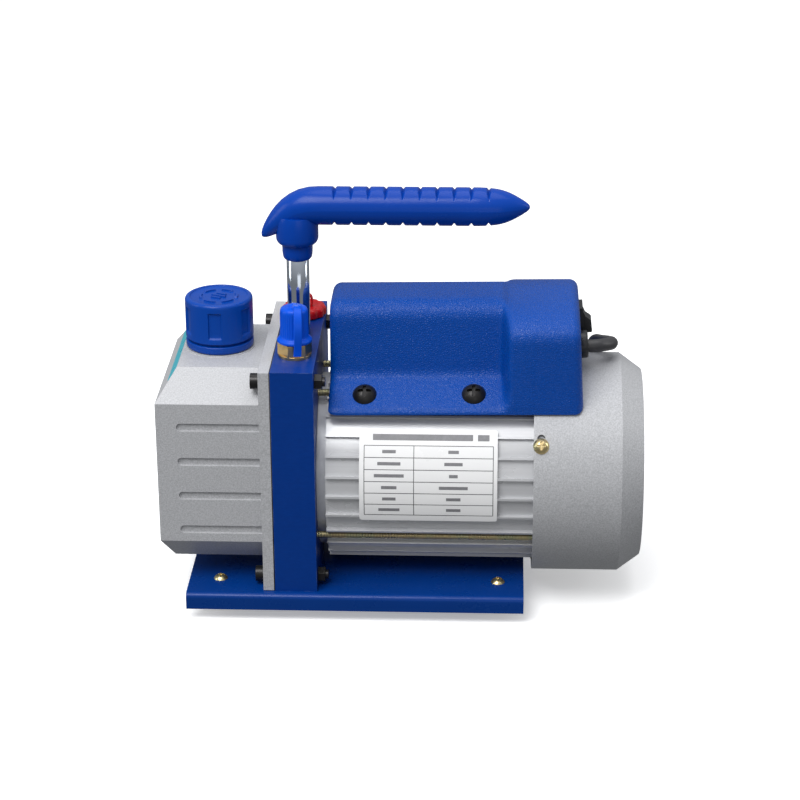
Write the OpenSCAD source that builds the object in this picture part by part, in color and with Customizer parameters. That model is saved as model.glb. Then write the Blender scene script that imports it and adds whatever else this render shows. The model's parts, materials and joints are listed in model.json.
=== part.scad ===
// Portable rotary vane vacuum pump: sheet-metal base, pump block with an oil tank,
// finned single-phase motor, electrical box with a rocker switch, and a carrying handle.
// +X runs from the oil tank to the motor's end cap, +Z is up, the floor is z = 0.

/* [Base] */
// Length of the folded base channel
base_len = 178.3; // [170:0.1:190]
// Width of the folded base channel
base_w = 116.3; // [112:0.1:117]
// Height of the base channel over its rims
base_h = 9.1; // [7:0.1:12]
// Thickness of the base sheet
sheet_t = 2.0; // [1.5:0.1:2.5]
// Height of the rubber feet below the channel's rims
foot_drop = 6.4; // [4:0.1:8]

/* [Pump] */
// Thickness of the pump block along X
block_t = 22.1; // [20:0.1:26]
// Width of the pump block
block_w = 107.7; // [104:0.1:112]
// Height of the pump block
block_h = 124.2; // [118:0.1:130]
// Radius of the pump rotor
rotor_r = 21.5; // [20:0.1:22]
// Offset of the cylinder bore from the rotor's axis
eccentricity = 4.4; // [3.5:0.1:4.6]
// Length of the pump cylinder
cylinder_len = 34; // [28:1:36]
// Thickness of a vane
vane_t = 4.0; // [3:0.1:5]

/* [Oil tank] */
// Half of the oil tank's width
tank_hw = 47; // [44:0.1:49]
// Wall of the oil tank
tank_wall = 3.5; // [3:0.1:4]
// Radius of the oil filler cap
oil_cap_r = 17.9; // [17:0.1:19]

/* [Motor] */
// Radius over the motor housing's fins
motor_r = 52.6; // [52:0.1:53]
// Height of the motor's axis above the base sheet
axis_above_base = 54.1; // [53.8:0.1:55]
// Radius of the end cap
cap_r = 58.5; // [58.4:0.1:59]
// Radius of the motor shaft
shaft_r = 6.0; // [5:0.1:7]

/* [Electrical box] */
// Height of the box's top above the motor's axis
box_top = 95.8; // [94:0.1:98]
// Lean of the box's switch end, in degrees
end_lean = 3.0; // [1:0.1:6]
// Rise of the box towards its switch end, in degrees
box_tilt = 0.85; // [0:0.05:1.5]

/* [Handle] */
// Radius of the handle's grip
grip_r = 10.05; // [9:0.05:11]
// Radius of the chrome post
post_r = 5.95; // [5.5:0.05:6.2]

/* [Hidden] */
$fn = 64;

blue = [0.03, 0.16, 0.45];
cast_silver = [0.72, 0.73, 0.75];
extruded = [0.80, 0.81, 0.82];
black_part = [0.06, 0.06, 0.07];
yellow_zinc = [0.66, 0.53, 0.26];
brass_metal = [0.80, 0.60, 0.30];
steel = [0.62, 0.63, 0.65];

// heights
base_bottom = foot_drop;
base_top = foot_drop + base_h;
axis_z = base_top + axis_above_base;
block_top = base_top + block_h;
tank_top = block_top - 5.8;
tank_bottom = base_top + 10.4;

// stations along X
base_x0 = -113.0;
tank_x0 = -126.7;
flange_x0 = -72.1;
gasket_x0 = -66.5;
block_x0 = -65.9;
block_x1 = block_x0 + block_t;
block_mid = (block_x0 + block_x1) / 2;
motor_x0 = -38.7;
motor_x1 = 70.0;
rear_x1 = 84.0;
cap_x0 = 69.4;
cap_x1 = 126.7;

// running and assembly clearances
run_gap = 0.05;
part_gap = 0.3;

// points of an arc about c, from angle a0 to a1 in n steps
function arc(c, r, a0, a1, n) =
    [for (i = [0:n]) c + r * [cos(a0 + (a1 - a0) * i / n), sin(a0 + (a1 - a0) * i / n)]];

// extrudes a (Y, Z) outline along X
module along_x(x0, x1) translate([x0, 0, 0]) rotate([90, 0, 90]) linear_extrude(x1 - x0) children();

// extrudes an (X, Z) outline along Y, centred on y
module along_y(y, w) translate([0, y + w / 2, 0]) rotate([90, 0, 0]) linear_extrude(w) children();

module rod_x(x0, x1, r, y = 0, z = axis_z) translate([x0, y, z]) rotate([0, 90, 0])
    cylinder(h = x1 - x0, r = r);

module rod_z(z0, z1, r, x, y) translate([x, y, z0]) cylinder(h = z1 - z0, r = r);

module ring_x(x0, x1, r_out, r_in, y = 0, z = axis_z) difference() {
    rod_x(x0, x1, r_out, y, z);
    rod_x(x0 - 1, x1 + 1, r_in, y, z);
}

module hex_x(x0, x1, flats, y, z) translate([x0, y, z]) rotate([0, 90, 0])
    cylinder(h = x1 - x0, d = flats / cos(30), $fn = 6);

// cross recess of a Phillips screw, cut down from the origin
module cross_recess(size, depth) for (a = [0, 90]) rotate([0, 0, a])
    translate([-size / 2, -size / 8, -depth]) cube([size, size / 4, depth + 1]);

// domed pan head with a cross recess, base at the origin, pointing up
module pan_head(r, h) {
    ball_r = (r * r + h * h) / (2 * h);
    difference() {
        intersection() {
            translate([0, 0, h - ball_r]) sphere(r = ball_r);
            cylinder(h = h, r = r);
        }
        translate([0, 0, h]) cross_recess(r * 1.1, h * 0.6);
    }
}

// ---------------------------------------------------------------- base
foot_xs = [-96.4, 51.6];
foot_y = 39;
foot_screw_r = 2.0;
block_screw_ys = [-34, -14, 14, 34];
block_screw_r = 2.95;

module at_feet() for (x = foot_xs, y = [-foot_y, foot_y]) translate([x, y, 0]) children();

module channel_outline(inset, bend_r) {
    hw = base_w / 2 - inset;
    top = base_top - inset;
    translate([-hw, base_bottom - inset]) square([2 * hw, top - base_bottom + inset - bend_r]);
    translate([-hw + bend_r, base_bottom - inset]) square([2 * (hw - bend_r), top - base_bottom + inset]);
    for (s = [-1, 1]) translate([s * (hw - bend_r), top - bend_r]) circle(r = bend_r);
}

module base_plate() color(blue) difference() {
    along_x(base_x0, base_x0 + base_len) difference() {
        channel_outline(0, 3);
        channel_outline(sheet_t, 1);
    }
    at_feet() cylinder(h = 30, r = foot_screw_r + 0.2);
    for (y = block_screw_ys) rod_z(base_bottom, base_top + 1, block_screw_r + 0.25, block_mid, y);
}

module rubber_feet() color(black_part) at_feet() difference() {
    union() {
        cylinder(h = 5, r1 = 6.3, r2 = 8);
        translate([0, 0, 5]) cylinder(h = base_top - sheet_t - 5, r = 8);
    }
    translate([0, 0, 3]) cylinder(h = 20, r = foot_screw_r + 0.03);
}

module foot_screws() color(yellow_zinc) at_feet() {
    translate([0, 0, base_top]) pan_head(3.8, 2.3);
    translate([0, 0, 4]) cylinder(h = base_top - 4, r = foot_screw_r);
}

module block_screws() color(steel) for (y = block_screw_ys) difference() {
    union() {
        rod_z(base_top - sheet_t, base_top + 15, block_screw_r, block_mid, y);
        rod_z(base_top - sheet_t - 4.5, base_top - sheet_t, 5, block_mid, y);
    }
    translate([block_mid, y, base_top - sheet_t - 5]) cylinder(h = 3, d = 5.8, $fn = 6);
}

// ---------------------------------------------------------------- pump block
tank_bolt_y = 44;
tank_bolt_zs = [base_top + 5.6, block_top - 8.5];
tank_bolt_r = 2.5;
inlet_y = -28.3;
inlet_x = block_mid - 0.1;
second_y = 33;
bush_x1 = -60;
seal_x1 = -54;
recess_r = 18;
stub_r = 7;
bore_z = axis_z - eccentricity;
bore_r = rotor_r + eccentricity + 0.1;
pump_bolt_circle = 34;
pump_bolt_r = 2.5;
suction_y = -18;
suction_z = axis_z - 19.6;
tie_angles = [-30, 66, 114, 210];
tie_circle = 50.5;
tie_r = 1.8;
gasket_edge = 0.5;

module at_tank_bolts() for (y = [-tank_bolt_y, tank_bolt_y], z = tank_bolt_zs)
    translate([0, y, z]) children();

module at_pump_bolts() for (a = [45:90:315])
    translate([0, pump_bolt_circle * cos(a), bore_z + pump_bolt_circle * sin(a)]) children();

module at_tie_rods() for (a = tie_angles)
    translate([0, tie_circle * cos(a), axis_z + tie_circle * sin(a)]) children();

module block_outline(edge) translate([-block_w / 2 + edge, base_top + edge])
    square([block_w - 2 * edge, block_h - 2 * edge]);

module pump_block() color(blue) difference() {
    along_x(block_x0, block_x1) block_outline(0);
    rod_x(block_x0 - 1, seal_x1 + 1, 9.5);
    rod_x(bush_x1, seal_x1 + 1, 13);
    rod_x(seal_x1, block_x1 + 1, recess_r);
    at_tank_bolts() rod_x(block_x0 - 1, block_x1 + 1, tank_bolt_r + 0.05, 0, 0);
    at_pump_bolts() rod_x(block_x0 - 1, block_x0 + 14, pump_bolt_r + 0.03, 0, 0);
    at_tie_rods() rod_x(block_x1 - 12, block_x1 + 1, tie_r + 0.03, 0, 0);
    rod_z(suction_z, block_top + 1, 3, inlet_x, inlet_y);
    rod_z(block_top - 9, block_top + 1, 5.05, inlet_x, inlet_y);
    rod_z(block_top - 9, block_top + 1, 5.05, block_mid, second_y);
    rod_z(block_top - 24, block_top + 1, post_r + 0.03, block_mid, 0);
    for (y = block_screw_ys) rod_z(base_top - 1, base_top + 18, block_screw_r + 0.05, block_mid, y);
    translate([inlet_x, inlet_y, suction_z]) rotate([-90, 0, 0])
        cylinder(h = suction_y - inlet_y + 2.5, r = 2.5);
    rod_x(block_x0 - 1, inlet_x, 2.5, suction_y, suction_z);
}

module tank_gasket() color(black_part) difference() {
    along_x(gasket_x0, block_x0) difference() {
        block_outline(gasket_edge);
        translate([-tank_hw + 4, tank_bottom + 4]) square([2 * tank_hw - 8, tank_top - tank_bottom - 8]);
    }
    at_tank_bolts() rod_x(gasket_x0 - 1, block_x0 + 1, tank_bolt_r + 0.3, 0, 0);
}

// ---------------------------------------------------------------- oil tank
tank_slope = 15;
end_slope_top = 10.5;
end_slope_low = 5.5;
groove_zs = [axis_z - 21.8, axis_z - 2.4, axis_z + 17, axis_z + 36.4];
groove_x0 = -115.9;
groove_hh = 2.15;
groove_depth = 1.2;
filler_x = -97.1;
neck_r = 13.5;
neck_bore_r = 10.5;
neck_top = tank_top + 14;
glass_z = axis_z + 13;
drain_z = axis_z - 22;

// cross-section of the tank with its four sloped edges
module tank_section(t) {
    hw = tank_hw - t;
    low = tank_bottom + t;
    high = tank_top - t;
    c = tank_slope - t * (2 - sqrt(2));
    polygon([[-hw, low + c], [-hw + c, low], [hw - c, low], [hw, low + c],
             [hw, high - c], [hw - c, high], [-hw + c, high], [-hw, high - c]]);
}

// side view of the tank with its sloped outer end
module tank_side(t) {
    polygon([[flange_x0 + 20, tank_bottom + t], [tank_x0 + end_slope_low + t, tank_bottom + t],
             [tank_x0 + t, tank_bottom + tank_slope], [tank_x0 + t, tank_top - tank_slope],
             [tank_x0 + end_slope_top + t, tank_top - t], [flange_x0 + 20, tank_top - t]]);
}

module tank_body(t) intersection() {
    along_x(tank_x0 - 1, gasket_x0) tank_section(t);
    along_y(0, 3 * tank_hw) tank_side(t);
}

module side_groove(side, z) {
    floor_y = tank_hw - groove_depth;
    translate([groove_x0 + groove_hh, side * floor_y, z]) rotate([-side * 90, 0, 0])
        cylinder(h = 5, r = groove_hh);
    translate([groove_x0 + groove_hh, side > 0 ? floor_y : -floor_y - 5, z - groove_hh])
        cube([flange_x0 - groove_x0 - groove_hh, 5, 2 * groove_hh]);
}

module oil_tank() color(cast_silver) difference() {
    union() {
        difference() {
            union() {
                tank_body(0);
                along_x(flange_x0, gasket_x0) block_outline(0.3);
            }
            tank_body(tank_wall);
            along_x(gasket_x0 - 8, gasket_x0 + 1) tank_section(tank_wall);
        }
        rod_x(tank_x0 + 2, tank_x0 + 9, 9, 0, drain_z);
        rod_x(tank_x0 + 2, tank_x0 + 7.5, 19, 0, glass_z);
        rod_z(tank_top - 6, tank_top + 0.6, neck_r + 5, filler_x, 0);
    }
    for (side = [-1, 1], z = groove_zs) side_groove(side, z);
    at_tank_bolts() rod_x(flange_x0 - 1, gasket_x0 + 1, tank_bolt_r + 0.3, 0, 0);
    rod_z(tank_top - 8, tank_top + 2, neck_r - 1, filler_x, 0);
    rod_x(tank_x0 - 1, tank_x0 + 12, 4.05, 0, drain_z);
    rod_x(tank_x0 - 1, tank_x0 + 3.4, 7.6, 0, drain_z);
    rod_x(tank_x0 - 1, tank_x0 + 12, 12, 0, glass_z);
    rod_x(tank_x0 - 1, tank_x0 + 5.5, 17.05, 0, glass_z);
}

module tank_bolts() color(black_part) at_tank_bolts() difference() {
    union() {
        rod_x(flange_x0 - 4.8, flange_x0, 4.2, 0, 0);
        rod_x(flange_x0, block_x1 + 5.6, tank_bolt_r, 0, 0);
    }
    hex_x(flange_x0 - 5, flange_x0 - 2.2, 4, 0, 0);
}

module tank_bolt_nuts() color(black_part) at_tank_bolts() difference() {
    hex_x(block_x1, block_x1 + 4, 7.4, 0, 0);
    rod_x(block_x1 - 1, block_x1 + 6, tank_bolt_r, 0, 0);
}

module sight_glass() color([0.85, 0.80, 0.55, 0.5]) rod_x(tank_x0 + 2.2, tank_x0 + 5.5, 15, 0, glass_z);

module sight_glass_ring() color(steel) difference() {
    ring_x(tank_x0 + 0.4, tank_x0 + 5.5, 17, 15.02, 0, glass_z);
    for (a = [0, 90, 180, 270]) translate([tank_x0, 16 * cos(a), glass_z + 16 * sin(a)])
        rotate([0, 90, 0]) cylinder(h = 1.6, r = 0.9);
}

module oil_filler_neck() color(cast_silver) difference() {
    union() {
        rod_z(tank_top - 6, tank_top + 1, neck_r - 1, filler_x, 0);
        rod_z(tank_top + 0.6, neck_top, neck_r, filler_x, 0);
    }
    rod_z(tank_top - 8, neck_top + 1, neck_bore_r, filler_x, 0);
}

module mist_baffle() color(steel) difference() {
    translate([tank_x0 + 10, tank_wall - tank_hw, tank_top - 19])
        cube([42, 2 * (tank_hw - tank_wall), 1.2]);
    for (i = [0:4], j = [-2:2]) rod_z(tank_top - 20, tank_top - 17, 2.2, tank_x0 + 15 + 8 * i, 13 * j);
}

module oil_cap() color(blue) difference() {
    cap_bottom = tank_top + 0.9;
    cap_top = tank_top + 28.3;
    groove_mid = cap_bottom + 4.8;
    edge_r = 1.2;
    union() {
        rod_z(cap_bottom, cap_top - edge_r, oil_cap_r, filler_x, 0);
        rod_z(cap_bottom, cap_top, oil_cap_r - edge_r, filler_x, 0);
        translate([filler_x, 0, cap_top - edge_r]) rotate_extrude() translate([oil_cap_r - edge_r, 0])
            circle(r = edge_r);
    }
    rod_z(cap_bottom - 1, neck_top + 1.5, neck_r + 0.3, filler_x, 0);
    difference() {
        rod_z(groove_mid - 0.8, groove_mid + 0.8, oil_cap_r + 1, filler_x, 0);
        rod_z(groove_mid - 2, groove_mid + 2, oil_cap_r - 1, filler_x, 0);
    }
    for (a = [0:60:300]) translate([filler_x, 0, 0]) rotate([0, 0, a - 96])
        translate([oil_cap_r - 0.8, -3.3, groove_mid + 3.4]) cube([3, 6.6, cap_top - groove_mid - 7.6]);
}

module oil_cap_seal() color(black_part) translate([filler_x, 0, neck_top + 0.75])
    rotate_extrude() translate([neck_r - 1.6, 0]) circle(r = 0.7);

module drain_plug() color(black_part) difference() {
    union() {
        rod_x(tank_x0 + 0.5, tank_x0 + 3.35, 6.4, 0, drain_z);
        rod_x(tank_x0 + 3, tank_x0 + 11, 4, 0, drain_z);
    }
    hex_x(tank_x0, tank_x0 + 2.6, 6, 0, drain_z);
}

// ---------------------------------------------------------------- pump cylinder
cylinder_x0 = block_x0 - cylinder_len;
end_plate_t = 6;
ear_r = 5.5;
ear_hw = 5;
flat_z = bore_z + bore_r + 3;
reed_y = 9;
reed_x1 = -72;
reed_len = 18;
reed_t = 0.5;

module cylinder_outline() {
    translate([0, bore_z]) circle(r = bore_r + 5);
    for (a = [45:90:315]) translate([0, bore_z]) rotate(a) {
        translate([pump_bolt_circle, 0]) circle(r = ear_r);
        translate([0, -ear_hw]) square([pump_bolt_circle, 2 * ear_hw]);
    }
}

module pump_cylinder() color(steel) difference() {
    along_x(cylinder_x0, block_x0) difference() {
        cylinder_outline();
        translate([0, bore_z]) circle(r = bore_r);
    }
    at_pump_bolts() rod_x(cylinder_x0 - 1, block_x0 + 1, pump_bolt_r + 0.3, 0, 0);
    translate([cylinder_x0 - 1, -17, flat_z]) cube([cylinder_len + 2, 34, 10]);
    rod_z(bore_z + bore_r - 8, flat_z + 1, 3, reed_x1 - 12, reed_y);
    rod_z(flat_z - 2.2, flat_z + 1, 1.25, block_x0 - 3, reed_y);
}

module pump_end_plate() color(steel) difference() {
    along_x(cylinder_x0 - end_plate_t, cylinder_x0) cylinder_outline();
    at_pump_bolts() rod_x(cylinder_x0 - end_plate_t - 1, cylinder_x0 + 1, pump_bolt_r + 0.3, 0, 0);
    rod_x(cylinder_x0 - end_plate_t - 1, cylinder_x0 + 1, stub_r + run_gap);
    translate([cylinder_x0 - 10, -17, flat_z]) cube([20, 34, 10]);
}

module pump_bolts() color(black_part) at_pump_bolts() {
    head_x = cylinder_x0 - end_plate_t;
    difference() {
        rod_x(head_x - 5, head_x, 4.25, 0, 0);
        hex_x(head_x - 6, head_x - 2.5, 4, 0, 0);
    }
    rod_x(head_x, block_x0 + 12, pump_bolt_r, 0, 0);
}

module shaft_bush() color(brass_metal) ring_x(block_x0, bush_x1, 9.5, stub_r + run_gap);

module shaft_seal() color(black_part) ring_x(bush_x1, seal_x1, 13, stub_r + run_gap);

module exhaust_reed() color(steel) translate([reed_x1 - reed_len, reed_y - 4.5, flat_z + 0.05])
    cube([reed_len, 9, reed_t]);

module valve_stop() color(steel) difference() {
    foot_x = reed_x1 + 0.5;
    tip_x = reed_x1 - reed_len + 0.5;
    end_x = block_x0 - 0.1;
    along_y(reed_y, 8) polygon([[end_x, flat_z], [foot_x, flat_z], [foot_x, flat_z + 1.1],
        [tip_x, flat_z + 4.9], [tip_x, flat_z + 6.2], [foot_x + 0.5, flat_z + 2.7], [end_x, flat_z + 2.7]]);
    rod_z(flat_z - 1, flat_z + 5, 1.5, block_x0 - 3, reed_y);
}

module valve_screw() color(steel) {
    translate([block_x0 - 3, reed_y, flat_z + 2.7]) pan_head(2.6, 1.6);
    rod_z(flat_z - 2, flat_z + 2.7, 1.2, block_x0 - 3, reed_y);
}

vane_h = 16.5;
slot_hh = vane_t / 2 + run_gap;
spring_xs = [cylinder_x0 + 9, block_x0 - 9];

module pump_rotor() color(steel) difference() {
    union() {
        rod_x(cylinder_x0 + 0.1, block_x0 - 0.1, rotor_r);
        rod_x(cylinder_x0 - end_plate_t + 0.5, -48.1, stub_r);
    }
    translate([cylinder_x0 + 0.05, -rotor_r - 1, axis_z - slot_hh])
        cube([cylinder_len - 0.1, 2 * rotor_r + 2, 2 * slot_hh]);
}

// rest position: drawn in, just inside the rotor's rim
module vane(side) {
    inner_y = rotor_r - 0.4 - vane_h;
    difference() {
        translate([cylinder_x0 + 0.2, side > 0 ? inner_y : -inner_y - vane_h, axis_z - vane_t / 2])
            cube([cylinder_len - 0.4, vane_h, vane_t]);
        for (x = spring_xs) translate([x, side * (inner_y - 0.5), axis_z])
            rotate([-side * 90, 0, 0]) cylinder(h = 7.5, r = 1.6);
    }
}

module vane_front() color([0.25, 0.22, 0.20]) vane(-1);

module vane_rear() color([0.25, 0.22, 0.20]) vane(1);

// spreader springs between the two vanes, as closed sleeves of the coils' outer size
module vane_springs() color(steel) for (x = spring_xs)
    translate([x, -11.2, axis_z]) rotate([-90, 0, 0]) difference() {
        cylinder(h = 22.4, r = 1.45);
        translate([0, 0, -1]) cylinder(h = 25, r = 1.0);
    }

module shaft_coupling() color(cast_silver) difference() {
    rod_x(-53, -43.2, 14);
    rod_x(-54, -48.1, stub_r);
    rod_x(-48.1, -43, shaft_r);
    for (x = [-50.5, -45.8]) translate([x, 0, axis_z]) cylinder(h = 20, r = 1.6);
}

// ---------------------------------------------------------------- ports
fitting_z = block_top + 1.5;
hex_top = fitting_z + 6.2;

module inlet_fitting() color(brass_metal) difference() {
    union() {
        rod_z(block_top - 8.5, block_top, 5, inlet_x, inlet_y);
        rod_z(block_top, fitting_z, 8.7, inlet_x, inlet_y);
        translate([inlet_x, inlet_y, fitting_z]) rotate([0, 0, 12])
            cylinder(h = hex_top - fitting_z, d = 18, $fn = 6);
        rod_z(hex_top, hex_top + 11, 5.5, inlet_x, inlet_y);
        translate([inlet_x, inlet_y, hex_top + 11]) cylinder(h = 3, r1 = 5, r2 = 2.8);
    }
    rod_z(block_top - 10, hex_top + 15, 2.2, inlet_x, inlet_y);
}

module inlet_cap() color([0.04, 0.25, 0.85]) {
    z0 = hex_top + 0.3;
    cap_h = 19.5;
    strap_w = 4.1;
    difference() {
        union() {
            rod_z(z0, z0 + 1.6, 9.1, inlet_x, inlet_y);
            rod_z(z0, z0 + cap_h - 2, 7.4, inlet_x, inlet_y);
            translate([inlet_x, inlet_y, z0 + cap_h - 2]) cylinder(h = 2, r1 = 7.4, r2 = 5.8);
        }
        rod_z(z0 - 1, z0 + cap_h - 3.5, 5.8, inlet_x, inlet_y);
    }
    translate([inlet_x - strap_w / 2, inlet_y - 10.6, z0 + cap_h - 1]) cube([strap_w, 10, 1.2]);
    translate([inlet_x - strap_w / 2, inlet_y - 10.6, z0 - 5]) cube([strap_w, 1.2, cap_h + 5.2]);
}

module second_port() color(brass_metal) difference() {
    union() {
        rod_z(block_top - 8.5, block_top, 5, block_mid, second_y);
        rod_z(block_top, block_top + 4, 6, block_mid, second_y);
    }
    rod_z(block_top - 10, block_top + 5, 3, block_mid, second_y);
}

module red_cap() color([0.8, 0.05, 0.06]) {
    z0 = block_top + 0.3;
    cap_h = 5.4;
    lobes = 12;
    difference() {
        union() {
            rod_z(z0, z0 + cap_h - 1.2, 11.2, block_mid, second_y);
            translate([block_mid, second_y, z0 + cap_h - 1.2]) cylinder(h = 1.2, r1 = 11.2, r2 = 9.6);
            for (i = [0:lobes - 1]) translate([block_mid, second_y, z0]) rotate(360 * i / lobes)
                translate([10.4, 0, 0]) cylinder(h = cap_h - 1.2, r = 1.6);
        }
        rod_z(z0 - 1, z0 + 3.9, 6.3, block_mid, second_y);
    }
}

// ---------------------------------------------------------------- handle
grip_z = axis_z + 142.4;
hub_z = grip_z - 20.1;
post_top = grip_z - 4;
grip_x0 = -43.5;
// centre x, centre height below the grip's axis and radius of each ball of the curved end
horn = [[grip_x0, 0, grip_r], [-51.5, 0.9, 9.6], [-58.5, 4.1, 8.2], [-64.5, 8.7, 6.3],
        [-69, 12.9, 4.2], [-71.8, 16, 2.0]];
groove_x = [for (i = [0:9]) -35 + 8.86 * i];
groove_floor_r = 17;

// outline of the straight part and its nose, turned about the grip's axis
grip_outline = [[0, grip_x0], [grip_r, grip_x0], [grip_r, 40], [9.75, 46], [9.0, 50.8], [7.9, 54.2],
                [6.6, 57.3], [5.2, 60], [3.8, 62.5], [2.4, 64.6], [1.2, 65.8], [0, 66.1]];

module v_ring(x, side) translate([x, 0, grip_z - side * 8.6]) rotate([0, 90, 0]) rotate_extrude($fn = 96)
    polygon([[groove_floor_r, -0.2], [groove_floor_r, 0.2], [groove_floor_r + 6, 3.4],
             [groove_floor_r + 6, -3.4]]);

module handle_grip() color(blue) difference() {
    union() {
        translate([0, 0, grip_z]) rotate([0, 90, 0]) rotate_extrude() polygon(grip_outline);
        for (i = [0:len(horn) - 2]) hull() for (b = [horn[i], horn[i + 1]])
            translate([b[0], 0, grip_z - b[1]]) sphere(r = b[2], $fn = 32);
        rod_z(hub_z, grip_z - 7.5, 11, block_mid, 0);
        rod_z(hub_z - 6.5, hub_z, 7.8, block_mid, 0);
        translate([block_mid, 0, hub_z - 8.5]) cylinder(h = 2, r1 = 6.8, r2 = 7.8);
    }
    for (x = groove_x, side = [-1, 1]) v_ring(x, side);
    rod_z(hub_z - 10, post_top, post_r + 0.03, block_mid, 0);
}

module handle_post() color([0.85, 0.86, 0.88]) rod_z(block_top - 23, post_top - 0.5, post_r, block_mid, 0);

// ---------------------------------------------------------------- motor
bore_motor = 45;
fin_root = 50.2;
fin_step = 12;
fin_t = 1.2;
core_x = [-12, 43];
coil_len = 14;
bearing_r = 16;
bearing_w = 10;
bearing_xs = [-41, 67];
ball_circle = 11;
ball_r = 2.5;

module at_axis() translate([0, axis_z]) children();

module finned_tube() along_x(motor_x0, motor_x1) at_axis() difference() {
    union() {
        circle(r = fin_root, $fn = 128);
        for (a = [0:fin_step:359]) rotate(a) translate([fin_root - 1, -fin_t / 2])
            square([motor_r - fin_root + 1, fin_t]);
    }
    circle(r = bore_motor);
    for (a = tie_angles) rotate(a) translate([tie_circle, 0]) circle(r = tie_r + 0.8);
}

module motor_housing() color(extruded) difference() {
    finned_tube();
    at_box_screws() translate([0, 0, -12]) cylinder(h = 12, r = 2.03);
}

module bearing_seat(x) rod_x(x, x + bearing_w, bearing_r + 0.02);

module motor_front_plate() color([0.45, 0.46, 0.48]) difference() {
    union() {
        rod_x(block_x1, motor_x0, 46);
        rod_x(motor_x0 - 1, motor_x0 + 5, bore_motor - 0.1);
        rod_x(motor_x0 - 1, bearing_xs[0] + bearing_w + 1.5, 21);
    }
    bearing_seat(bearing_xs[0]);
    rod_x(block_x1 - 1, motor_x0 + 40, 12);
    rod_x(block_x1 - 1, bearing_xs[0] + 0.5, 15.5);
}

module motor_rear_plate() color([0.45, 0.46, 0.48]) difference() {
    union() {
        rod_x(motor_x1, rear_x1, 55.7);
        rod_x(motor_x1 - 6, motor_x1 + 1, bore_motor - 0.1);
        rod_x(bearing_xs[1] - 1.5, rear_x1, 21);
    }
    rod_x(motor_x1 + 8, rear_x1 + 1, 44);
    bearing_seat(bearing_xs[1]);
    rod_x(motor_x1 - 10, rear_x1 + 1, 12);
    rod_x(bearing_xs[1] + bearing_w - 0.5, rear_x1 + 1, 15.5);
    at_tie_rods() rod_x(motor_x1 - 1, rear_x1 + 1, tie_r + 0.2, 0, 0);
    at_cap_screws() translate([0, 0, cap_shank_r - 0.1]) cylinder(h = 10, r = cap_screw_r + 0.05);
    for (a = [0:45:315]) rotate_about_axis(a + 22) rod_x(motor_x1 - 10, rear_x1, 6, 33, 0);
}

module at_bearings() for (x = bearing_xs) translate([x, 0, axis_z]) rotate([0, 90, 0]) children();

module race(r_out, r_in) rotate_extrude() difference() {
    translate([r_in, 0]) square([r_out - r_in, bearing_w]);
    translate([ball_circle, bearing_w / 2]) circle(r = ball_r + 0.06, $fn = 48);
}

module bearing_outer_rings() color(steel) at_bearings() race(bearing_r, ball_circle + 1.7);

module bearing_inner_rings() color(steel) at_bearings() race(ball_circle - 1.7, shaft_r + 0.01);

module bearing_balls() color(steel) at_bearings() for (a = [0:45:315])
    translate([ball_circle * cos(a), ball_circle * sin(a), bearing_w / 2]) sphere(r = ball_r);

module stator_core() color([0.35, 0.35, 0.37]) along_x(core_x[0], core_x[1]) at_axis() difference() {
    circle(r = bore_motor - 0.05);
    circle(r = 27);
    for (a = [0:15:359]) rotate(a) translate([33, 0]) circle(r = 2.6);
}

module stator_windings() color([0.60, 0.30, 0.14]) for (x = [core_x[0] - coil_len, core_x[1] + 0.1])
    translate([x, 0, axis_z]) rotate([0, 90, 0]) rotate_extrude() {
        translate([29, 2]) square([12, coil_len - 4.1]);
        translate([31, 0]) square([8, coil_len - 0.1]);
    }

module motor_shaft() color(steel) union() {
    rod_x(-48, 100, shaft_r);
    translate([100, 0, axis_z]) rotate([0, 90, 0]) cylinder(h = 1.5, r1 = shaft_r, r2 = shaft_r - 1.2);
}

module rotor_core() color([0.40, 0.40, 0.42]) difference() {
    union() {
        rod_x(core_x[0], core_x[1], 26.5);
        ring_x(core_x[0] - 5, core_x[0], 25, 17);
        ring_x(core_x[1], core_x[1] + 5, 25, 17);
        for (a = [0:45:315]) rotate_about_axis(a) translate([core_x[1] + 4, 18, -1])
            cube([5, 6, 2]);
    }
    rod_x(core_x[0] - 1, core_x[1] + 1, shaft_r);
}

module rotate_about_axis(a) translate([0, 0, axis_z]) rotate([a, 0, 0]) children();

module cooling_fan() color(black_part) difference() {
    union() {
        rod_x(87, 100, 13);
        rod_x(87, 89, 46);
        for (a = [0:40:320]) rotate_about_axis(a) translate([88, 12, -1]) cube([17, 34, 2]);
    }
    rod_x(86, 106, shaft_r);
    rod_x(100, 106, 13);
}

module tie_rods() color(yellow_zinc) at_tie_rods() rod_x(block_x1 - 11.5, rear_x1 + 6, tie_r, 0, 0);

module tie_rod_nuts() color(yellow_zinc) at_tie_rods() difference() {
    hex_x(rear_x1, rear_x1 + 3, 6, 0, 0);
    rod_x(rear_x1 - 1, rear_x1 + 4, tie_r, 0, 0);
}

// ---------------------------------------------------------------- end cap
cap_wall = 2.5;
cap_bend_x = 115;
cap_face_r = 50;
cap_screw_x = 73.2;
cap_screw_angle = 30.5;
cap_screw_r = 1.9;
cap_shank_r = 52.9;
cap_slot_r = 2.4;

// three radial places a third of a turn apart on the cap's rim, each with its own Z pointing out
module at_cap_screws() for (a = [cap_screw_angle, 180 - cap_screw_angle, 270])
    translate([cap_screw_x, 0, axis_z]) rotate([a - 90, 0, 0]) children();

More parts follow.
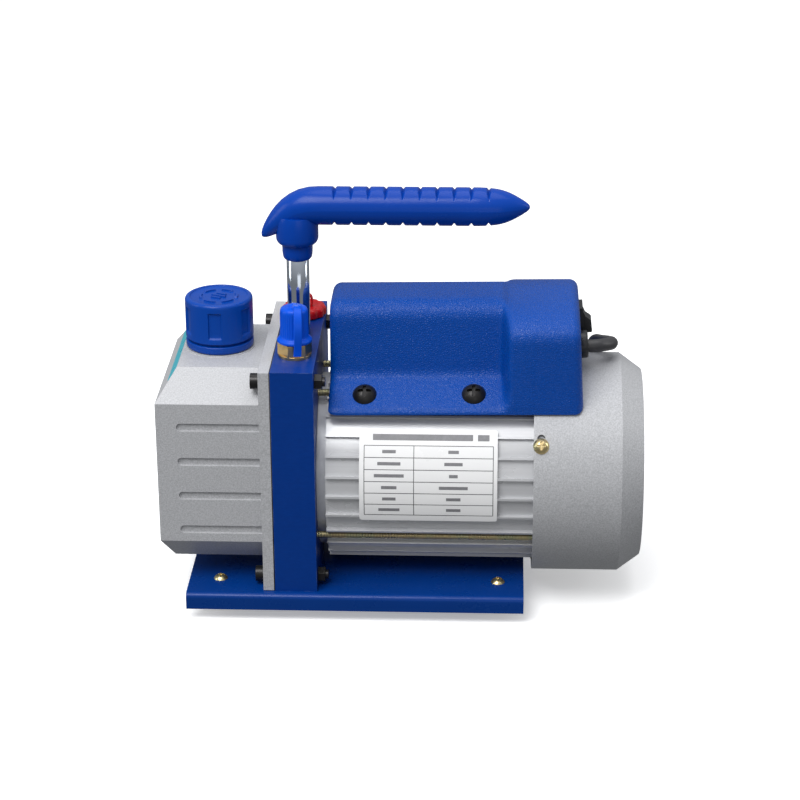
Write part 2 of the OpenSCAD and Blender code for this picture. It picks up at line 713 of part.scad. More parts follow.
module end_cap() color(cast_silver) difference() {
    translate([0, 0, axis_z]) rotate([0, 90, 0]) rotate_extrude($fn = 128)
        polygon([[cap_r, cap_x0], [cap_r, cap_bend_x], [cap_face_r, cap_x1], [0, cap_x1],
                 [0, cap_x1 - cap_wall], [cap_face_r - 1.4, cap_x1 - cap_wall],
                 [cap_r - cap_wall, cap_bend_x - 1], [cap_r - cap_wall, cap_x0]]);
    at_cap_screws() translate([0, 0, 54]) cylinder(h = 10, r = cap_slot_r);
    for (side = [-1, 1]) for (turn = [2, 4]) translate([cap_screw_x, 0, axis_z])
        rotate([-side * (90 - cap_screw_angle - turn), 0, 0])
            translate([0, 0, 54]) cylinder(h = 10, r = cap_slot_r - 0.3);
    for (a = [0:30:330]) rotate_about_axis(a) translate([cap_x1 - 5, 16, -2]) cube([10, 26, 4]);
    for (a = [0:30:330], r = [16, 42]) rotate_about_axis(a) rod_x(cap_x1 - 5, cap_x1 + 5, 2, r, 0);
}

module end_cap_screws() color(yellow_zinc) at_cap_screws() {
    translate([0, 0, cap_r + 0.1]) pan_head(4.2, 2.6);
    translate([0, 0, cap_shank_r]) cylinder(h = cap_r + 0.1 - cap_shank_r, r = cap_screw_r);
}

module rating_label() color([0.93, 0.93, 0.93]) along_x(-21, 50.8) at_axis() intersection() {
    difference() {
        circle(r = motor_r + 0.4, $fn = 128);
        circle(r = motor_r + 0.02, $fn = 128);
    }
    polygon(concat([[0, 0]], [for (a = [139.6, 167, 194.2]) 80 * [cos(a), sin(a)]]));
}

// ---------------------------------------------------------------- electrical box
box_x0 = -37.4;
box_step_x = 54.6;
box_end_x = 95.0;
box_wall = 2.5;
ledge_hw = 41.2;
ledge_z = 41.8;
crease = [22.5, 56.3];
lip = [ledge_hw - 1.4, ledge_z + 3.2];
block_top_h = 93.9;
block_edge_h = 80.6;

// half outline of the narrow part that covers the capacitor, heights from the motor's axis
function hump_half(t) = concat([[0, box_top + 0.3 - t]],
    arc([11.5, box_top - 9 - t / 2], 9 - t / 2, 90, 0, 8),
    [crease + [-t, -t / 2], lip + [-t, -t / 2], [ledge_hw - t, ledge_z]]);

// half outline of the wide part that covers the switch
function block_half(t) = concat(
    [for (a = [0:10:90]) [(40.2 - t) * pow(sin(a), 0.8),
        block_edge_h + (block_top_h - block_edge_h - t) * pow(cos(a), 0.8)]],
    [[ledge_hw - t, ledge_z]]);

function mirrored(half) = concat(half, [for (i = [len(half) - 1:-1:1]) [-half[i][0], half[i][1]]]);

// raises the box towards its switch end, turning about its lower corner at the other end
module tilted() translate([box_x0, 0, axis_z + ledge_z]) rotate([0, -box_tilt, 0])
    translate([-box_x0, 0, -axis_z - ledge_z]) children();

module box_form(t) tilted() {
    along_x(box_x0 - 4, box_step_x + 5 - t) at_axis() polygon(mirrored(hump_half(t)));
    along_x(box_step_x + t, box_end_x + 4) at_axis() polygon(mirrored(block_half(t)));
}

// everything past the upright end and the leaning switch end, set back by t
module past_ends(t) {
    translate([box_x0 + t - 20, -60, axis_z]) cube([20, 120, 120]);
    translate([box_end_x - t, -60, axis_z + ledge_z]) rotate([0, -end_lean, 0])
        translate([0, 0, -30]) cube([40, 120, 120]);
}

module electrical_box() color(blue) difference() {
    box_form(0);
    past_ends(0);
    difference() {
        box_form(box_wall);
        past_ends(box_wall);
    }
    rod_x(box_x0 - 1, cap_x0 - part_gap, motor_r + 0.3);
    rod_x(cap_x0 - 1, box_end_x + 10, cap_r + 0.3);
    on_switch_end(switch_y, switch_z) translate([-6.2, -8.4, -10]) cube([12.4, 16.8, 20]);
    on_switch_end(gland_y, gland_z) translate([0, 0, -10]) cylinder(h = 20, r = 5.5);
    at_box_screws() translate([0, 0, -8]) cylinder(h = 12, r = 2.1);
}

screw_share = 0.57;
ledge_mid = crease + screw_share * (lip - crease);
ledge_lean = atan2(crease[1] - lip[1], lip[0] - crease[0]);
box_screw_xs = [-18.6, 38.2];

module at_box_screws() tilted() for (x = box_screw_xs, side = [-1, 1])
    translate([x, side * ledge_mid[0], axis_z + ledge_mid[1]]) rotate([-side * ledge_lean, 0, 0])
        children();

module box_screws() color(black_part) at_box_screws() {
    translate([0, 0, 0.05]) pan_head(6.3, 4);
    translate([0, 0, -11]) cylinder(h = 11.05, r = 2);
}

module run_capacitor() color([0.75, 0.76, 0.78]) {
    rod_x(-31, 38, 15.5, 0, axis_z + 75.5);
    for (y = [-5, 5]) translate([38, y - 0.4, axis_z + 72]) cube([8, 0.8, 6]);
}

// ---------------------------------------------------------------- switch and cord
switch_y = 6;
switch_z = 78.4;
gland_y = -10;
gland_z = 70.8;

// x of the leaning end at a height above the motor's axis
function end_x(h) = box_end_x - (h - ledge_z) * tan(end_lean);

// a frame on the switch end with Z pointing out of it and Y up
module on_switch_end(y, h) translate([end_x(h), y, axis_z + h]) rotate([0, -end_lean, 0])
    rotate([0, 90, 0]) rotate([0, 0, 90]) children();

pivot_depth = 2.2;

module rocker_axle(r) translate([-5, 0, -pivot_depth]) rotate([0, 90, 0])
    cylinder(h = 10, r = r);

module switch_housing() color(black_part) on_switch_end(switch_y, switch_z) {
    difference() {
        union() {
            translate([-6, -8.2, -16]) cube([12, 16.4, 16]);
            translate([-7, -8.9, 0]) cube([14, 17.8, 2]);
            for (y = [-5, 0, 5]) translate([-2.4, y - 0.4, -23]) cube([4.8, 0.8, 8]);
        }
        translate([-4.6, -7.4, -12]) cube([9.2, 14.8, 16]);
    }
    rocker_axle(0.75);
}

// side outline of the rocker, with its lower lobe standing out
rocker_outline = [[-6.3, -4], [-6.3, -1], [-6, 1.6], [-5.7, 5.9], [-5.2, 6.5], [0.7, 6.2], [1.3, 5.8],
                  [3.3, 3.2], [5.6, 2.3], [5.9, 1.6], [6.3, -1], [6.3, -4]];

module switch_rocker() color(black_part) on_switch_end(switch_y, switch_z) difference() {
    translate([-4.3, 0, 0]) rotate([90, 0, 90]) linear_extrude(8.6) polygon(rocker_outline);
    rocker_axle(0.8);
}

cord_r = 3.5;
cord_exit = [97.5, -10, 139.5];

module cord_gland() color(black_part) difference() {
    on_switch_end(gland_y, gland_z) {
        translate([0, 0, -6]) cylinder(h = 7, r = 5.4);
        cylinder(h = 3.2, r = 7.3);
        translate([0, 0, 3.2]) cylinder(h = 0.7, r1 = 7.3, r2 = 6.6);
    }
    translate([cord_exit[0] - 1.3, gland_y, cord_exit[2]]) rotate([0, 90, 0]) cylinder(h = 3, r = cord_r);
}

// route of the lead from the gland, over the end cap's shoulder and down to the floor
route = [
    [96.5, -10, 139.5], [100.4, -9.7, 139.4], [104, -8.3, 139.2], [108.5, -3.7, 138.2], [110.2, 2.5, 136.5],
    [108.5, 8.7, 134.6], [105.8, 13.9, 132.9], [103.7, 19.5, 131.2], [102.5, 26, 128.6], [102, 33, 124.2],
    [102, 39, 118.8], [102, 45, 112.5], [102, 51.5, 104.4], [102, 57.5, 95], [102, 61.8, 84.5],
    [101.8, 64.2, 73], [101.4, 65.6, 61], [100.8, 66.4, 49], [99.8, 67, 37.5], [98, 68, 27],
    [94.8, 69.4, 18], [90, 71, 10.8], [83.5, 72.8, 6], [75.5, 74.3, 4], [66, 75, 3.6]];
// end of the lead, from the coil's top turn to the plug
tail = [
    [58, 75, 10.6], [50, 75.1, 9.6], [42, 75.4, 7], [34, 76, 4.8], [26, 77, 4.4], [18, 78.2, 6],
    [10.5, 79.4, 9.4], [4, 80.3, 13.4], [-2, 80.9, 16.8], [-8, 81, 18.3]];
coil_x = 58;
coil_y = 120;
coil_in = 27.5;
coil_out = 48.5;
coil_h = 14;

function unit(v) = v / norm(v);
function heading(p, i) = unit(p[min(i + 1, len(p) - 1)] - p[max(i - 1, 0)]);
// a side vector that turns with the path as little as possible
function sides(p, i = 0, s = [0, 1, 0]) = let (t = heading(p, i), n = unit(s - (s * t) * t))
    i == len(p) - 1 ? [n] : concat([n], sides(p, i + 1, n));

module tube(p, r, n) {
    s = sides(p);
    m = len(p);
    rings = [for (i = [0:m - 1]) let (t = heading(p, i), u = cross(t, s[i]))
        for (k = [0:n - 1]) p[i] + r * (cos(360 * k / n) * s[i] + sin(360 * k / n) * u)];
    walls = [for (i = [0:m - 2], k = [0:n - 1])
        [i * n + k, i * n + (k + 1) % n, (i + 1) * n + (k + 1) % n, (i + 1) * n + k]];
    ends = [[for (k = [n - 1:-1:0]) k], [for (k = [0:n - 1]) (m - 1) * n + k]];
    polyhedron(points = rings, faces = concat(walls, ends), convexity = 6);
}

module power_cord() color(black_part) {
    tube(route, cord_r, 10);
    tube(tail, cord_r, 10);
}

module cord_coil() color(black_part) translate([coil_x, coil_y, 0]) rotate_extrude($fn = 96) {
    translate([coil_in, 2]) square([coil_out - coil_in, coil_h - 4]);
    translate([coil_in + 2, 0]) square([coil_out - coil_in - 4, coil_h]);
    for (x = [coil_in + 2, coil_out - 2], y = [2, coil_h - 2]) translate([x, y]) circle(r = 2);
}

plug_x = -8;
plug_y = 81;
plug_r = 18.3;
plug_body = 30;
relief_len = 26;
pin_gap = 19;
pin_len = 19;

// round two-pin plug lying on its side, its strain relief towards +X and its pins towards -X
module power_plug() color(black_part) translate([plug_x, plug_y, plug_r]) rotate([0, -90, 0]) {
    cylinder(h = relief_len, r1 = 4.6, r2 = 8.2);
    translate([0, 0, relief_len - 1]) cylinder(h = plug_body + 1, r = plug_r);
    for (s = [-1, 1]) translate([0, s * pin_gap / 2, relief_len + plug_body]) cylinder(h = pin_len, r = 2.4);
}

base_plate();
rubber_feet();
foot_screws();
block_screws();
pump_block();
tank_gasket();
oil_tank();
tank_bolts();
tank_bolt_nuts();
sight_glass();
sight_glass_ring();
oil_filler_neck();
mist_baffle();
pump_cylinder();
pump_end_plate();
pump_bolts();
shaft_bush();
shaft_seal();
valve_stop();
valve_screw();
exhaust_reed();
pump_rotor();
vane_front();
vane_rear();
vane_springs();
shaft_coupling();
inlet_fitting();
inlet_cap();
second_port();
red_cap();
oil_cap();
oil_cap_seal();
drain_plug();
handle_post();
handle_grip();
motor_front_plate();
motor_housing();
stator_core();
stator_windings();
motor_rear_plate();
bearing_outer_rings();
bearing_inner_rings();
bearing_balls();
motor_shaft();
rotor_core();
cooling_fan();
tie_rods();
tie_rod_nuts();
end_cap();
end_cap_screws();
rating_label();
electrical_box();
box_screws();
run_capacitor();
switch_housing();
switch_rocker();
cord_gland();
power_cord();
cord_coil();
power_plug();
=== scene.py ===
"""Looks of a portable rotary vane vacuum pump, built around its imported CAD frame.

The frame is the CAD's: +X from the oil tank to the motor's end cap, +Z up. Materials, lights and bevels are in
metres. Pieces are drawn in millimetres, and new_piece() scales them.
"""

import json
from math import cos, degrees, pi, radians, sin, sqrt, tan

import bmesh
import bpy
from mathutils import Matrix, Vector


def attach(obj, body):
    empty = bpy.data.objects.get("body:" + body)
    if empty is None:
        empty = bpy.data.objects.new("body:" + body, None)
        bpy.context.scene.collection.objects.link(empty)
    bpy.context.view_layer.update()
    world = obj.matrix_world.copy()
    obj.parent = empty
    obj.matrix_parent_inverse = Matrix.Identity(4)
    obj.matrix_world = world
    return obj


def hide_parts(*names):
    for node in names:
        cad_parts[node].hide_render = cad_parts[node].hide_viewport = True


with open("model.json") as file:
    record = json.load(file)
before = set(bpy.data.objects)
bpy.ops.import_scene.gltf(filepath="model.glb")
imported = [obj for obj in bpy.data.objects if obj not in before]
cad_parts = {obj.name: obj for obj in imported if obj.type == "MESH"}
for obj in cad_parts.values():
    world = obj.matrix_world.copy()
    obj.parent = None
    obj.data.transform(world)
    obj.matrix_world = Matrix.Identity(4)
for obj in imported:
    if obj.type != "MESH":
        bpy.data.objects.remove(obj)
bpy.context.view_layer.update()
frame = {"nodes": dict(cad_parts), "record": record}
NODES = frame["nodes"]
RECORD = frame["record"]
MM = 0.001
BODY = "frame"


# ---------------------------------------------------------------- camera, floor and light
def linked(name, data):
    """A new object in the scene."""
    thing = bpy.data.objects.new(name, data)
    bpy.context.scene.collection.objects.link(thing)
    return thing


def make_camera():
    azimuth, elevation, roll = radians(2.56), radians(22.4), radians(-0.317)
    back = Vector((sin(azimuth) * cos(elevation), -cos(azimuth) * cos(elevation),
                   sin(elevation)))
    right = Vector((cos(azimuth), sin(azimuth), 0.0))
    up = right.cross(-back)
    turned_right = cos(roll) * right + sin(roll) * up
    turned_up = -sin(roll) * right + cos(roll) * up
    data = bpy.data.cameras.new("camera")
    data.lens = 110.0
    data.sensor_width = 36.0
    data.clip_start, data.clip_end = 0.05, 30.0
    camera = linked("camera", data)
    columns = Matrix((turned_right, turned_up, back)).transposed()
    camera.matrix_world = Matrix.Translation((0.05222, -1.20671, 0.60131)) @ columns.to_4x4()
    bpy.context.scene.camera = camera


def add_softbox(name, place, target, size, power):
    data = bpy.data.lights.new(name, "AREA")
    data.shape = "RECTANGLE"
    data.size, data.size_y = size
    data.energy = power
    light = linked(name, data)
    light.location = place
    light.rotation_euler = (Vector(target) - Vector(place)).to_track_quat("-Z", "Y").to_euler()


def make_studio():
    world = bpy.data.worlds.new("studio")
    bpy.context.scene.world = world
    world.use_nodes = True
    nodes, links = world.node_tree.nodes, world.node_tree.links
    background = nodes["Background"]
    # a bright room overhead that falls off towards the horizon, so that metal has something to reflect
    direction = nodes.new("ShaderNodeTexCoord")
    split = nodes.new("ShaderNodeSeparateXYZ")
    links.new(direction.outputs["Generated"], split.inputs[0])
    ramp = nodes.new("ShaderNodeValToRGB")
    ramp.color_ramp.elements[0].position = 0.0
    ramp.color_ramp.elements[0].color = (0.22, 0.225, 0.23, 1)
    ramp.color_ramp.elements[1].position = 0.8
    ramp.color_ramp.elements[1].color = (0.62, 0.63, 0.65, 1)
    links.new(split.outputs["Z"], ramp.inputs[0])
    links.new(ramp.outputs[0], background.inputs["Color"])
    background.inputs["Strength"].default_value = 1.0
    add_softbox("key", (-0.42, -0.72, 1.24), (0.0, 0.0, 0.09), (0.9, 0.7), 15.5)
    add_softbox("top", (0.15, 0.15, 1.45), (0.0, 0.0, 0.1), (1.2, 0.8), 5.5)
    add_softbox("front", (0.35, -1.6, 0.30), (0.0, 0.0, 0.08), (0.9, 0.5), 1.2)
    add_softbox("left", (-1.3, -0.2, 0.55), (0.0, 0.0, 0.08), (0.4, 0.8), 2.5)
    add_softbox("right", (1.35, 0.1, 0.6), (0.0, 0.0, 0.1), (0.4, 0.8), 2.5)
    bpy.context.scene.view_settings.view_transform = "Standard"


def make_floor():
    mesh = bpy.data.meshes.new("floor")
    reach = 6.0
    mesh.from_pydata([(-reach, -reach, 0), (reach, -reach, 0), (reach, reach, 0), (-reach, reach, 0)], [],
                     [(0, 1, 2, 3)])
    floor = linked("floor", mesh)
    look = Look("floor_white", (0.96, 0.96, 0.96), rough=0.9, shine=0.1)
    look.set("Emission Color", (1.0, 1.0, 1.0, 1.0))
    look.set("Emission Strength", 0.35)
    mesh.materials.append(look.material)
    # the floor takes shadows, but throws no light back onto the pump
    floor.visible_diffuse = floor.visible_glossy = floor.visible_transmission = False


# ---------------------------------------------------------------- material kit
class Look:
    """A Principled material, with short calls that add nodes to it."""

    def __init__(self, name, colour, rough=0.5, metal=0.0, coat=0.0, coat_rough=0.05, shine=None):
        self.material = bpy.data.materials.new(name)
        self.material.use_nodes = True
        self.tree = self.material.node_tree
        self.shader = self.tree.nodes["Principled BSDF"]
        self.set("Base Color", (*colour, 1))
        self.set("Roughness", rough)
        self.set("Metallic", metal)
        self.set("Coat Weight", coat)
        self.set("Coat Roughness", coat_rough)
        if shine is not None:
            self.set("Specular IOR Level", shine)
        self.place = self.add("ShaderNodeTexCoord").outputs["Object"]

    def set(self, socket, value):
        self.shader.inputs[socket].default_value = value

    def add(self, kind, **settings):
        node = self.tree.nodes.new(kind)
        for name, value in settings.items():
            setattr(node, name, value)
        return node

    def wire(self, source, target):
        if isinstance(source, (int, float, tuple)):
            target.default_value = source
        else:
            self.tree.links.new(source, target)

    def math(self, operation, a, b=0.0, clamp=False):
        node = self.add("ShaderNodeMath", operation=operation, use_clamp=clamp)
        self.wire(a, node.inputs[0])
        self.wire(b, node.inputs[1])
        return node.outputs[0]

    def texture(self, kind, scale, stretch=(1, 1, 1), **settings):
        """A texture on the object's own coordinates, times stretch."""
        node = self.add(kind, **settings)
        mapping = self.add("ShaderNodeMapping")
        mapping.inputs["Scale"].default_value = stretch
        self.wire(self.place, mapping.inputs["Vector"])
        self.wire(mapping.outputs[0], node.inputs["Vector"])
        node.inputs["Scale"].default_value = scale
        return node

    def noise(self, size, detail=3.0, rough=0.55, stretch=(1, 1, 1)):
        """Noise whose blobs are about size metres across."""
        node = self.texture("ShaderNodeTexNoise", 0.5 / size, stretch)
        node.inputs["Detail"].default_value = detail
        node.inputs["Roughness"].default_value = rough
        return node.outputs["Fac"]

    def creases(self, size):
        """0 along the creases between cells about size metres across."""
        return self.texture("ShaderNodeTexVoronoi", 1.0 / size, feature="DISTANCE_TO_EDGE").outputs["Distance"]

    def bands(self, pitch):
        """Even ridges across X, pitch metres apart."""
        return self.texture("ShaderNodeTexWave", 0.314 / pitch, bands_direction="X", wave_profile="SIN").outputs["Fac"]

    def ramp(self, value, low, high, start=0.0, end=1.0):
        """value between low and high, turned into start to end."""
        node = self.add("ShaderNodeMapRange", interpolation_type="SMOOTHSTEP")
        self.wire(value, node.inputs["Value"])
        for name, number in (("From Min", low), ("From Max", high), ("To Min", start), ("To Max", end)):
            node.inputs[name].default_value = number
        return node.outputs[0]

    def blend(self, share, first, second):
        """A colour from first to second as share goes from 0 to 1."""
        node = self.add("ShaderNodeMix", data_type="RGBA")
        self.wire(share, node.inputs["Factor"])
        for value, socket in ((first, node.inputs["A"]), (second, node.inputs["B"])):
            self.wire((*value, 1) if isinstance(value, tuple) and len(value) == 3 else value, socket)
        return node.outputs["Result"]

    def worn(self, radius, low=0.02, high=0.25):
        """0 on flat surfaces and 1 on sharp edges, broken up by noise."""
        rounded = self.add("ShaderNodeBevel", samples=4)
        rounded.inputs["Radius"].default_value = radius
        plain = self.add("ShaderNodeNewGeometry")
        dot = self.add("ShaderNodeVectorMath", operation="DOT_PRODUCT")
        self.wire(rounded.outputs[0], dot.inputs[0])
        self.wire(plain.outputs["Normal"], dot.inputs[1])
        sharp = self.math("SUBTRACT", 1.0, dot.outputs["Value"])
        edge = self.ramp(sharp, low, high)
        return self.math("MULTIPLY", edge, self.ramp(self.noise(0.004, 5.0, 0.7), 0.42, 0.62), clamp=True)

    def colour(self, value):
        self.wire(value, self.shader.inputs["Base Color"])

    def mottle(self, share, colour, dark, light):
        """The colour, from dark to light times itself as share goes from 0 to 1."""
        return self.blend(share, tinted(colour, dark), tinted(colour, light))

    def part(self, value, amount):
        return self.math("MULTIPLY", value, amount)

    def rough(self, value):
        self.wire(value, self.shader.inputs["Roughness"])

    def sheen(self, size, detail, grain, low, high):
        """Roughness that drifts between low and high in blobs of the given size."""
        self.rough(self.ramp(self.noise(size, detail, grain), 0.3, 0.7, low, high))

    def tone(self, colour, size, detail, dark, light, grain=0.6):
        """An uneven colour."""
        self.colour(self.mottle(self.noise(size, detail, grain), colour, dark, light))

    def bump(self, height, depth, strength=1.0):
        """Raises the surface by depth metres where height is 1. Calls stack."""
        node = self.add("ShaderNodeBump")
        node.inputs["Strength"].default_value = strength
        node.inputs["Distance"].default_value = depth
        self.wire(height, node.inputs["Height"])
        before = self.shader.inputs["Normal"].links
        if before:
            self.wire(before[0].from_socket, node.inputs["Normal"])
        self.wire(node.outputs[0], self.shader.inputs["Normal"])


def tinted(colour, factor):
    return tuple(min(1.0, c * factor) for c in colour)


def plastic(name, colour, rough, grain, depth, edge, shine):
    """Moulded plastic: a grain in the mould, faint rubs and a slightly uneven tone."""
    look = Look(name, colour, rough, shine=shine)
    tone = look.noise(0.02, 4.0, 0.6)
    base = look.mottle(tone, colour, 0.88, 1.12)
    if edge:
        base = look.blend(look.part(look.worn(0.0006), edge), base, tinted(colour, 1.7))
    look.colour(base)
    rubs = look.noise(0.012, 6.0, 0.65, stretch=(0.35, 1, 1.6))
    look.rough(look.ramp(rubs, 0.3, 0.72, rough * 0.86, min(1.0, rough * 1.2)))
    look.bump(look.noise(grain, 2.0, 0.5), depth)
    return look


def leather_plastic():
    """Matt moulded cover with a fine leather grain: rounded pebbles with creases between, and painted shade darkening
    the creases.
    """
    colour = (0.0003, 0.068, 0.40)
    look = Look("cover_blue", colour, 0.36, shine=0.25)
    pebbles_and_crease_shade = look.ramp(look.creases(0.0011), 0.0, 0.28)
    fine = look.noise(0.0005, 2.0, 0.6)
    tone = look.noise(0.03, 3.0, 0.5)
    base = look.mottle(tone, colour, 0.9, 1.1)
    # the creases between pebbles are painted darker: painted shade in the grain
    look.colour(look.blend(look.part(pebbles_and_crease_shade, 0.35), tinted(colour, 0.8), base))
    look.sheen(0.0009, 2.0, 0.5, 0.22, 0.42)
    look.bump(pebbles_and_crease_shade, 0.00014, 0.9)
    look.bump(fine, 0.00005, 0.6)
    return look


def powder_coat():
    """Gloss blue powder coat on folded sheet: orange peel, with rubbed corners."""
    colour = (0.0003, 0.036, 0.22)
    look = Look("base_blue", colour, 0.28, metal=0.05, coat=0.1, coat_rough=0.1, shine=0.15)
    worn = look.worn(0.0008, 0.05, 0.35)
    base = look.mottle(look.noise(0.02, 4.0), colour, 0.88, 1.12)
    look.colour(look.blend(look.part(worn, 0.16), base, (0.10, 0.18, 0.36)))
    look.sheen(0.008, 5.0, 0.6, 0.25, 0.33)
    look.bump(look.noise(0.0013, 2.0, 0.45), 0.00006, 0.5)
    return look


def painted_block():
    """Machined block under thin blue paint, so that fine cutter lines show through."""
    colour = (0.0003, 0.036, 0.24)
    look = Look("block_blue", colour, 0.36, metal=0.1, coat=0.05, coat_rough=0.2, shine=0.15)
    lines = look.noise(0.0009, 3.0, 0.6, stretch=(0.5, 0.06, 1.6))
    worn = look.worn(0.0007, 0.05, 0.35)
    base = look.mottle(lines, colour, 0.86, 1.16)
    look.colour(look.blend(look.part(worn, 0.55), base, (0.22, 0.30, 0.48)))
    look.sheen(0.005, 5.0, 0.65, 0.30, 0.46)
    look.bump(lines, 0.00004, 0.5)
    look.bump(look.noise(0.0005, 2.0, 0.5), 0.00003, 0.4)
    return look


def silver_paint():
    """Metallic silver paint over a fine sand casting: flakes, grain and brighter rubbed edges."""
    colour = (0.45, 0.455, 0.47)
    look = Look("cast_silver", colour, 0.44, metal=0.06, shine=0.30)
    flakes = look.noise(0.00035, 2.0, 0.75)
    clouds = look.noise(0.025, 3.0, 0.5)
    base = look.mottle(look.ramp(flakes, 0.3, 0.7), colour, 0.80, 1.18)
    base = look.blend(look.part(clouds, 0.25), base, tinted(colour, 0.93))
    look.colour(look.blend(look.part(look.worn(0.0009), 0.4), base, (0.70, 0.71, 0.73)))
    look.rough(look.ramp(flakes, 0.35, 0.65, 0.40, 0.54))
    look.bump(look.noise(0.0006, 3.0, 0.7), 0.00007, 0.8)
    look.bump(look.noise(0.004, 2.0, 0.5), 0.00012, 0.4)
    return look


def machined(name, colour, rough, stretch, metal=1.0, depth=0.00002, edge=0.35):
    """Bare or plated metal with fine tool lines stretched along one direction."""
    look = Look(name, colour, rough, metal=metal)
    lines = look.noise(0.0012, 4.0, 0.65, stretch=stretch)
    base = look.mottle(lines, colour, 0.88, 1.12)
    look.colour(look.blend(look.part(look.worn(0.0004), edge), base, tinted(colour, 1.35)))
    smudge = look.noise(0.01, 4.0, 0.6)
    look.rough(look.ramp(smudge, 0.3, 0.7, rough * 0.75, min(1.0, rough * 1.3)))
    look.bump(lines, depth, 0.6)
    return look


def extrusion():
    """Bright drawn aluminium: long streaks along X."""
    colour = (0.59, 0.595, 0.61)
    look = Look("extrusion", colour, 0.38, metal=0.28)
    streaks = look.noise(0.0008, 5.0, 0.65, stretch=(0.015, 1, 1))
    dull = look.noise(0.012, 4.0, 0.6, stretch=(0.3, 1, 1))
    base = look.mottle(streaks, colour, 0.86, 1.1)
    look.colour(look.blend(look.part(dull, 0.3), base, tinted(colour, 0.86)))
    look.rough(look.ramp(dull, 0.3, 0.7, 0.26, 0.42))
    look.bump(streaks, 0.00003, 0.7)
    return look


def zinc(name="yellow_zinc"):
    """Yellow chromate on zinc: gold, drifting to pink and green."""
    look = Look(name, (0.70, 0.58, 0.32), 0.30, metal=1.0)
    drift = look.noise(0.004, 3.0, 0.6)
    base = look.blend(look.ramp(drift, 0.35, 0.65), (0.74, 0.58, 0.30), (0.62, 0.60, 0.34))
    patch = look.ramp(look.noise(0.006, 4.0, 0.6), 0.55, 0.75)
    look.colour(look.blend(look.part(patch, 0.5), base, (0.72, 0.50, 0.42)))
    look.sheen(0.003, 4.0, 0.55, 0.22, 0.42)
    look.bump(look.noise(0.0006, 3.0, 0.6), 0.00002, 0.5)
    return look


def chrome():
    look = Look("chrome", (0.64, 0.69, 0.77), 0.06, metal=1.0)
    smears = look.noise(0.006, 5.0, 0.6, stretch=(1, 1, 0.4))
    look.rough(look.ramp(smears, 0.4, 0.75, 0.12, 0.20))
    look.colour(look.blend(smears, (0.60, 0.66, 0.75), (0.68, 0.73, 0.80)))
    look.bump(look.noise(0.0004, 3.0, 0.6, stretch=(1, 1, 0.08)), 0.000004, 0.4)
    return look


def brass():
    """Turned brass, a little tarnished away from the edges."""
    colour = (0.80, 0.56, 0.24)
    look = Look("brass", colour, 0.28, metal=1.0)
    turned = look.noise(0.0007, 3.0, 0.6, stretch=(0.1, 0.1, 2.0))
    tarnish = look.ramp(look.noise(0.005, 5.0, 0.65), 0.45, 0.7)
    base = look.mottle(turned, colour, 0.88, 1.1)
    base = look.blend(look.part(tarnish, 0.45), base, (0.46, 0.30, 0.13))
    look.colour(look.blend(look.part(look.worn(0.0004), 0.5), base, (0.95, 0.74, 0.42)))
    look.rough(look.ramp(tarnish, 0.0, 1.0, 0.28, 0.48))
    look.bump(turned, 0.00002, 0.5)
    return look


def rubber(name, colour=(0.018, 0.018, 0.019), rough=0.62):
    look = Look(name, colour, rough)
    dust = look.ramp(look.noise(0.006, 6.0, 0.7), 0.5, 0.8)
    look.colour(look.blend(look.part(dust, 0.3), colour, (0.07, 0.07, 0.07)))
    look.sheen(0.003, 4.0, 0.55, rough * 0.85, rough * 1.15)
    look.bump(look.noise(0.0005, 3.0, 0.6), 0.00004, 0.6)
    return look


def pvc_sheath():
    """Dark grey PVC: a soft sheen with faint drag marks."""
    colour = (0.030, 0.030, 0.033)
    look = Look("cord_pvc", colour, 0.40, shine=0.6)
    marks = look.noise(0.002, 4.0, 0.6)
    look.colour(look.mottle(marks, colour, 0.8, 1.35))
    look.rough(look.ramp(marks, 0.3, 0.7, 0.34, 0.50))
    look.bump(look.noise(0.0004, 2.0, 0.5), 0.00002, 0.5)
    return look


def sight_glass():
    look = Look("sight_glass", (0.95, 0.93, 0.82), 0.03)
    look.set("Alpha", 0.22)
    look.set("IOR", 1.49)
    look.bump(look.noise(0.006, 2.0, 0.5), 0.00003, 0.25)
    return look


def label_film():
    look = Look("label_film", (0.86, 0.86, 0.86), 0.32)
    tone = look.noise(0.015, 4.0, 0.6)
    look.colour(look.blend(tone, (0.83, 0.83, 0.83), (0.89, 0.89, 0.89)))
    look.sheen(0.01, 5.0, 0.55, 0.26, 0.40)
    look.bump(look.noise(0.003, 3.0), 0.00002, 0.5)
    return look


def threaded_zinc():
    """Yellow-plated rod with a rolled thread."""
    look = zinc("threaded_zinc")
    look.bump(look.bands(0.0008), 0.0003, 0.9)
    return look


def ink(name, colour):
    look = Look(name, colour, 0.45)
    look.tone(colour, 0.0008, 3.0, 0.8, 1.25)
    look.sheen(0.004, 3.0, 0.55, 0.36, 0.52)
    return look


def teal_film():
    colour = (0.02, 0.42, 0.52)
    look = Look("teal_film", colour, 0.3)
    look.tone(colour, 0.01, 4.0, 0.9, 1.1)
    look.sheen(0.006, 4.0, 0.55, 0.24, 0.40)
    look.bump(look.noise(0.002, 3.0), 0.00002, 0.4)
    return look


def oil():
    colour = (0.55, 0.30, 0.05)
    look = Look("oil", colour, 0.08)
    look.tone(colour, 0.008, 2.0, 0.85, 1.15, grain=0.55)
    look.sheen(0.006, 3.0, 0.55, 0.05, 0.14)
    return look


def laminations():
    colour = (0.30, 0.31, 0.32)
    look = Look("laminations", colour, 0.4, metal=0.9)
    sheets = look.bands(0.0005)
    look.colour(look.mottle(sheets, colour, 0.6, 1.2))
    look.sheen(0.004, 4.0, 0.55, 0.32, 0.55)
    look.bump(sheets, 0.00004, 0.8)
    return look


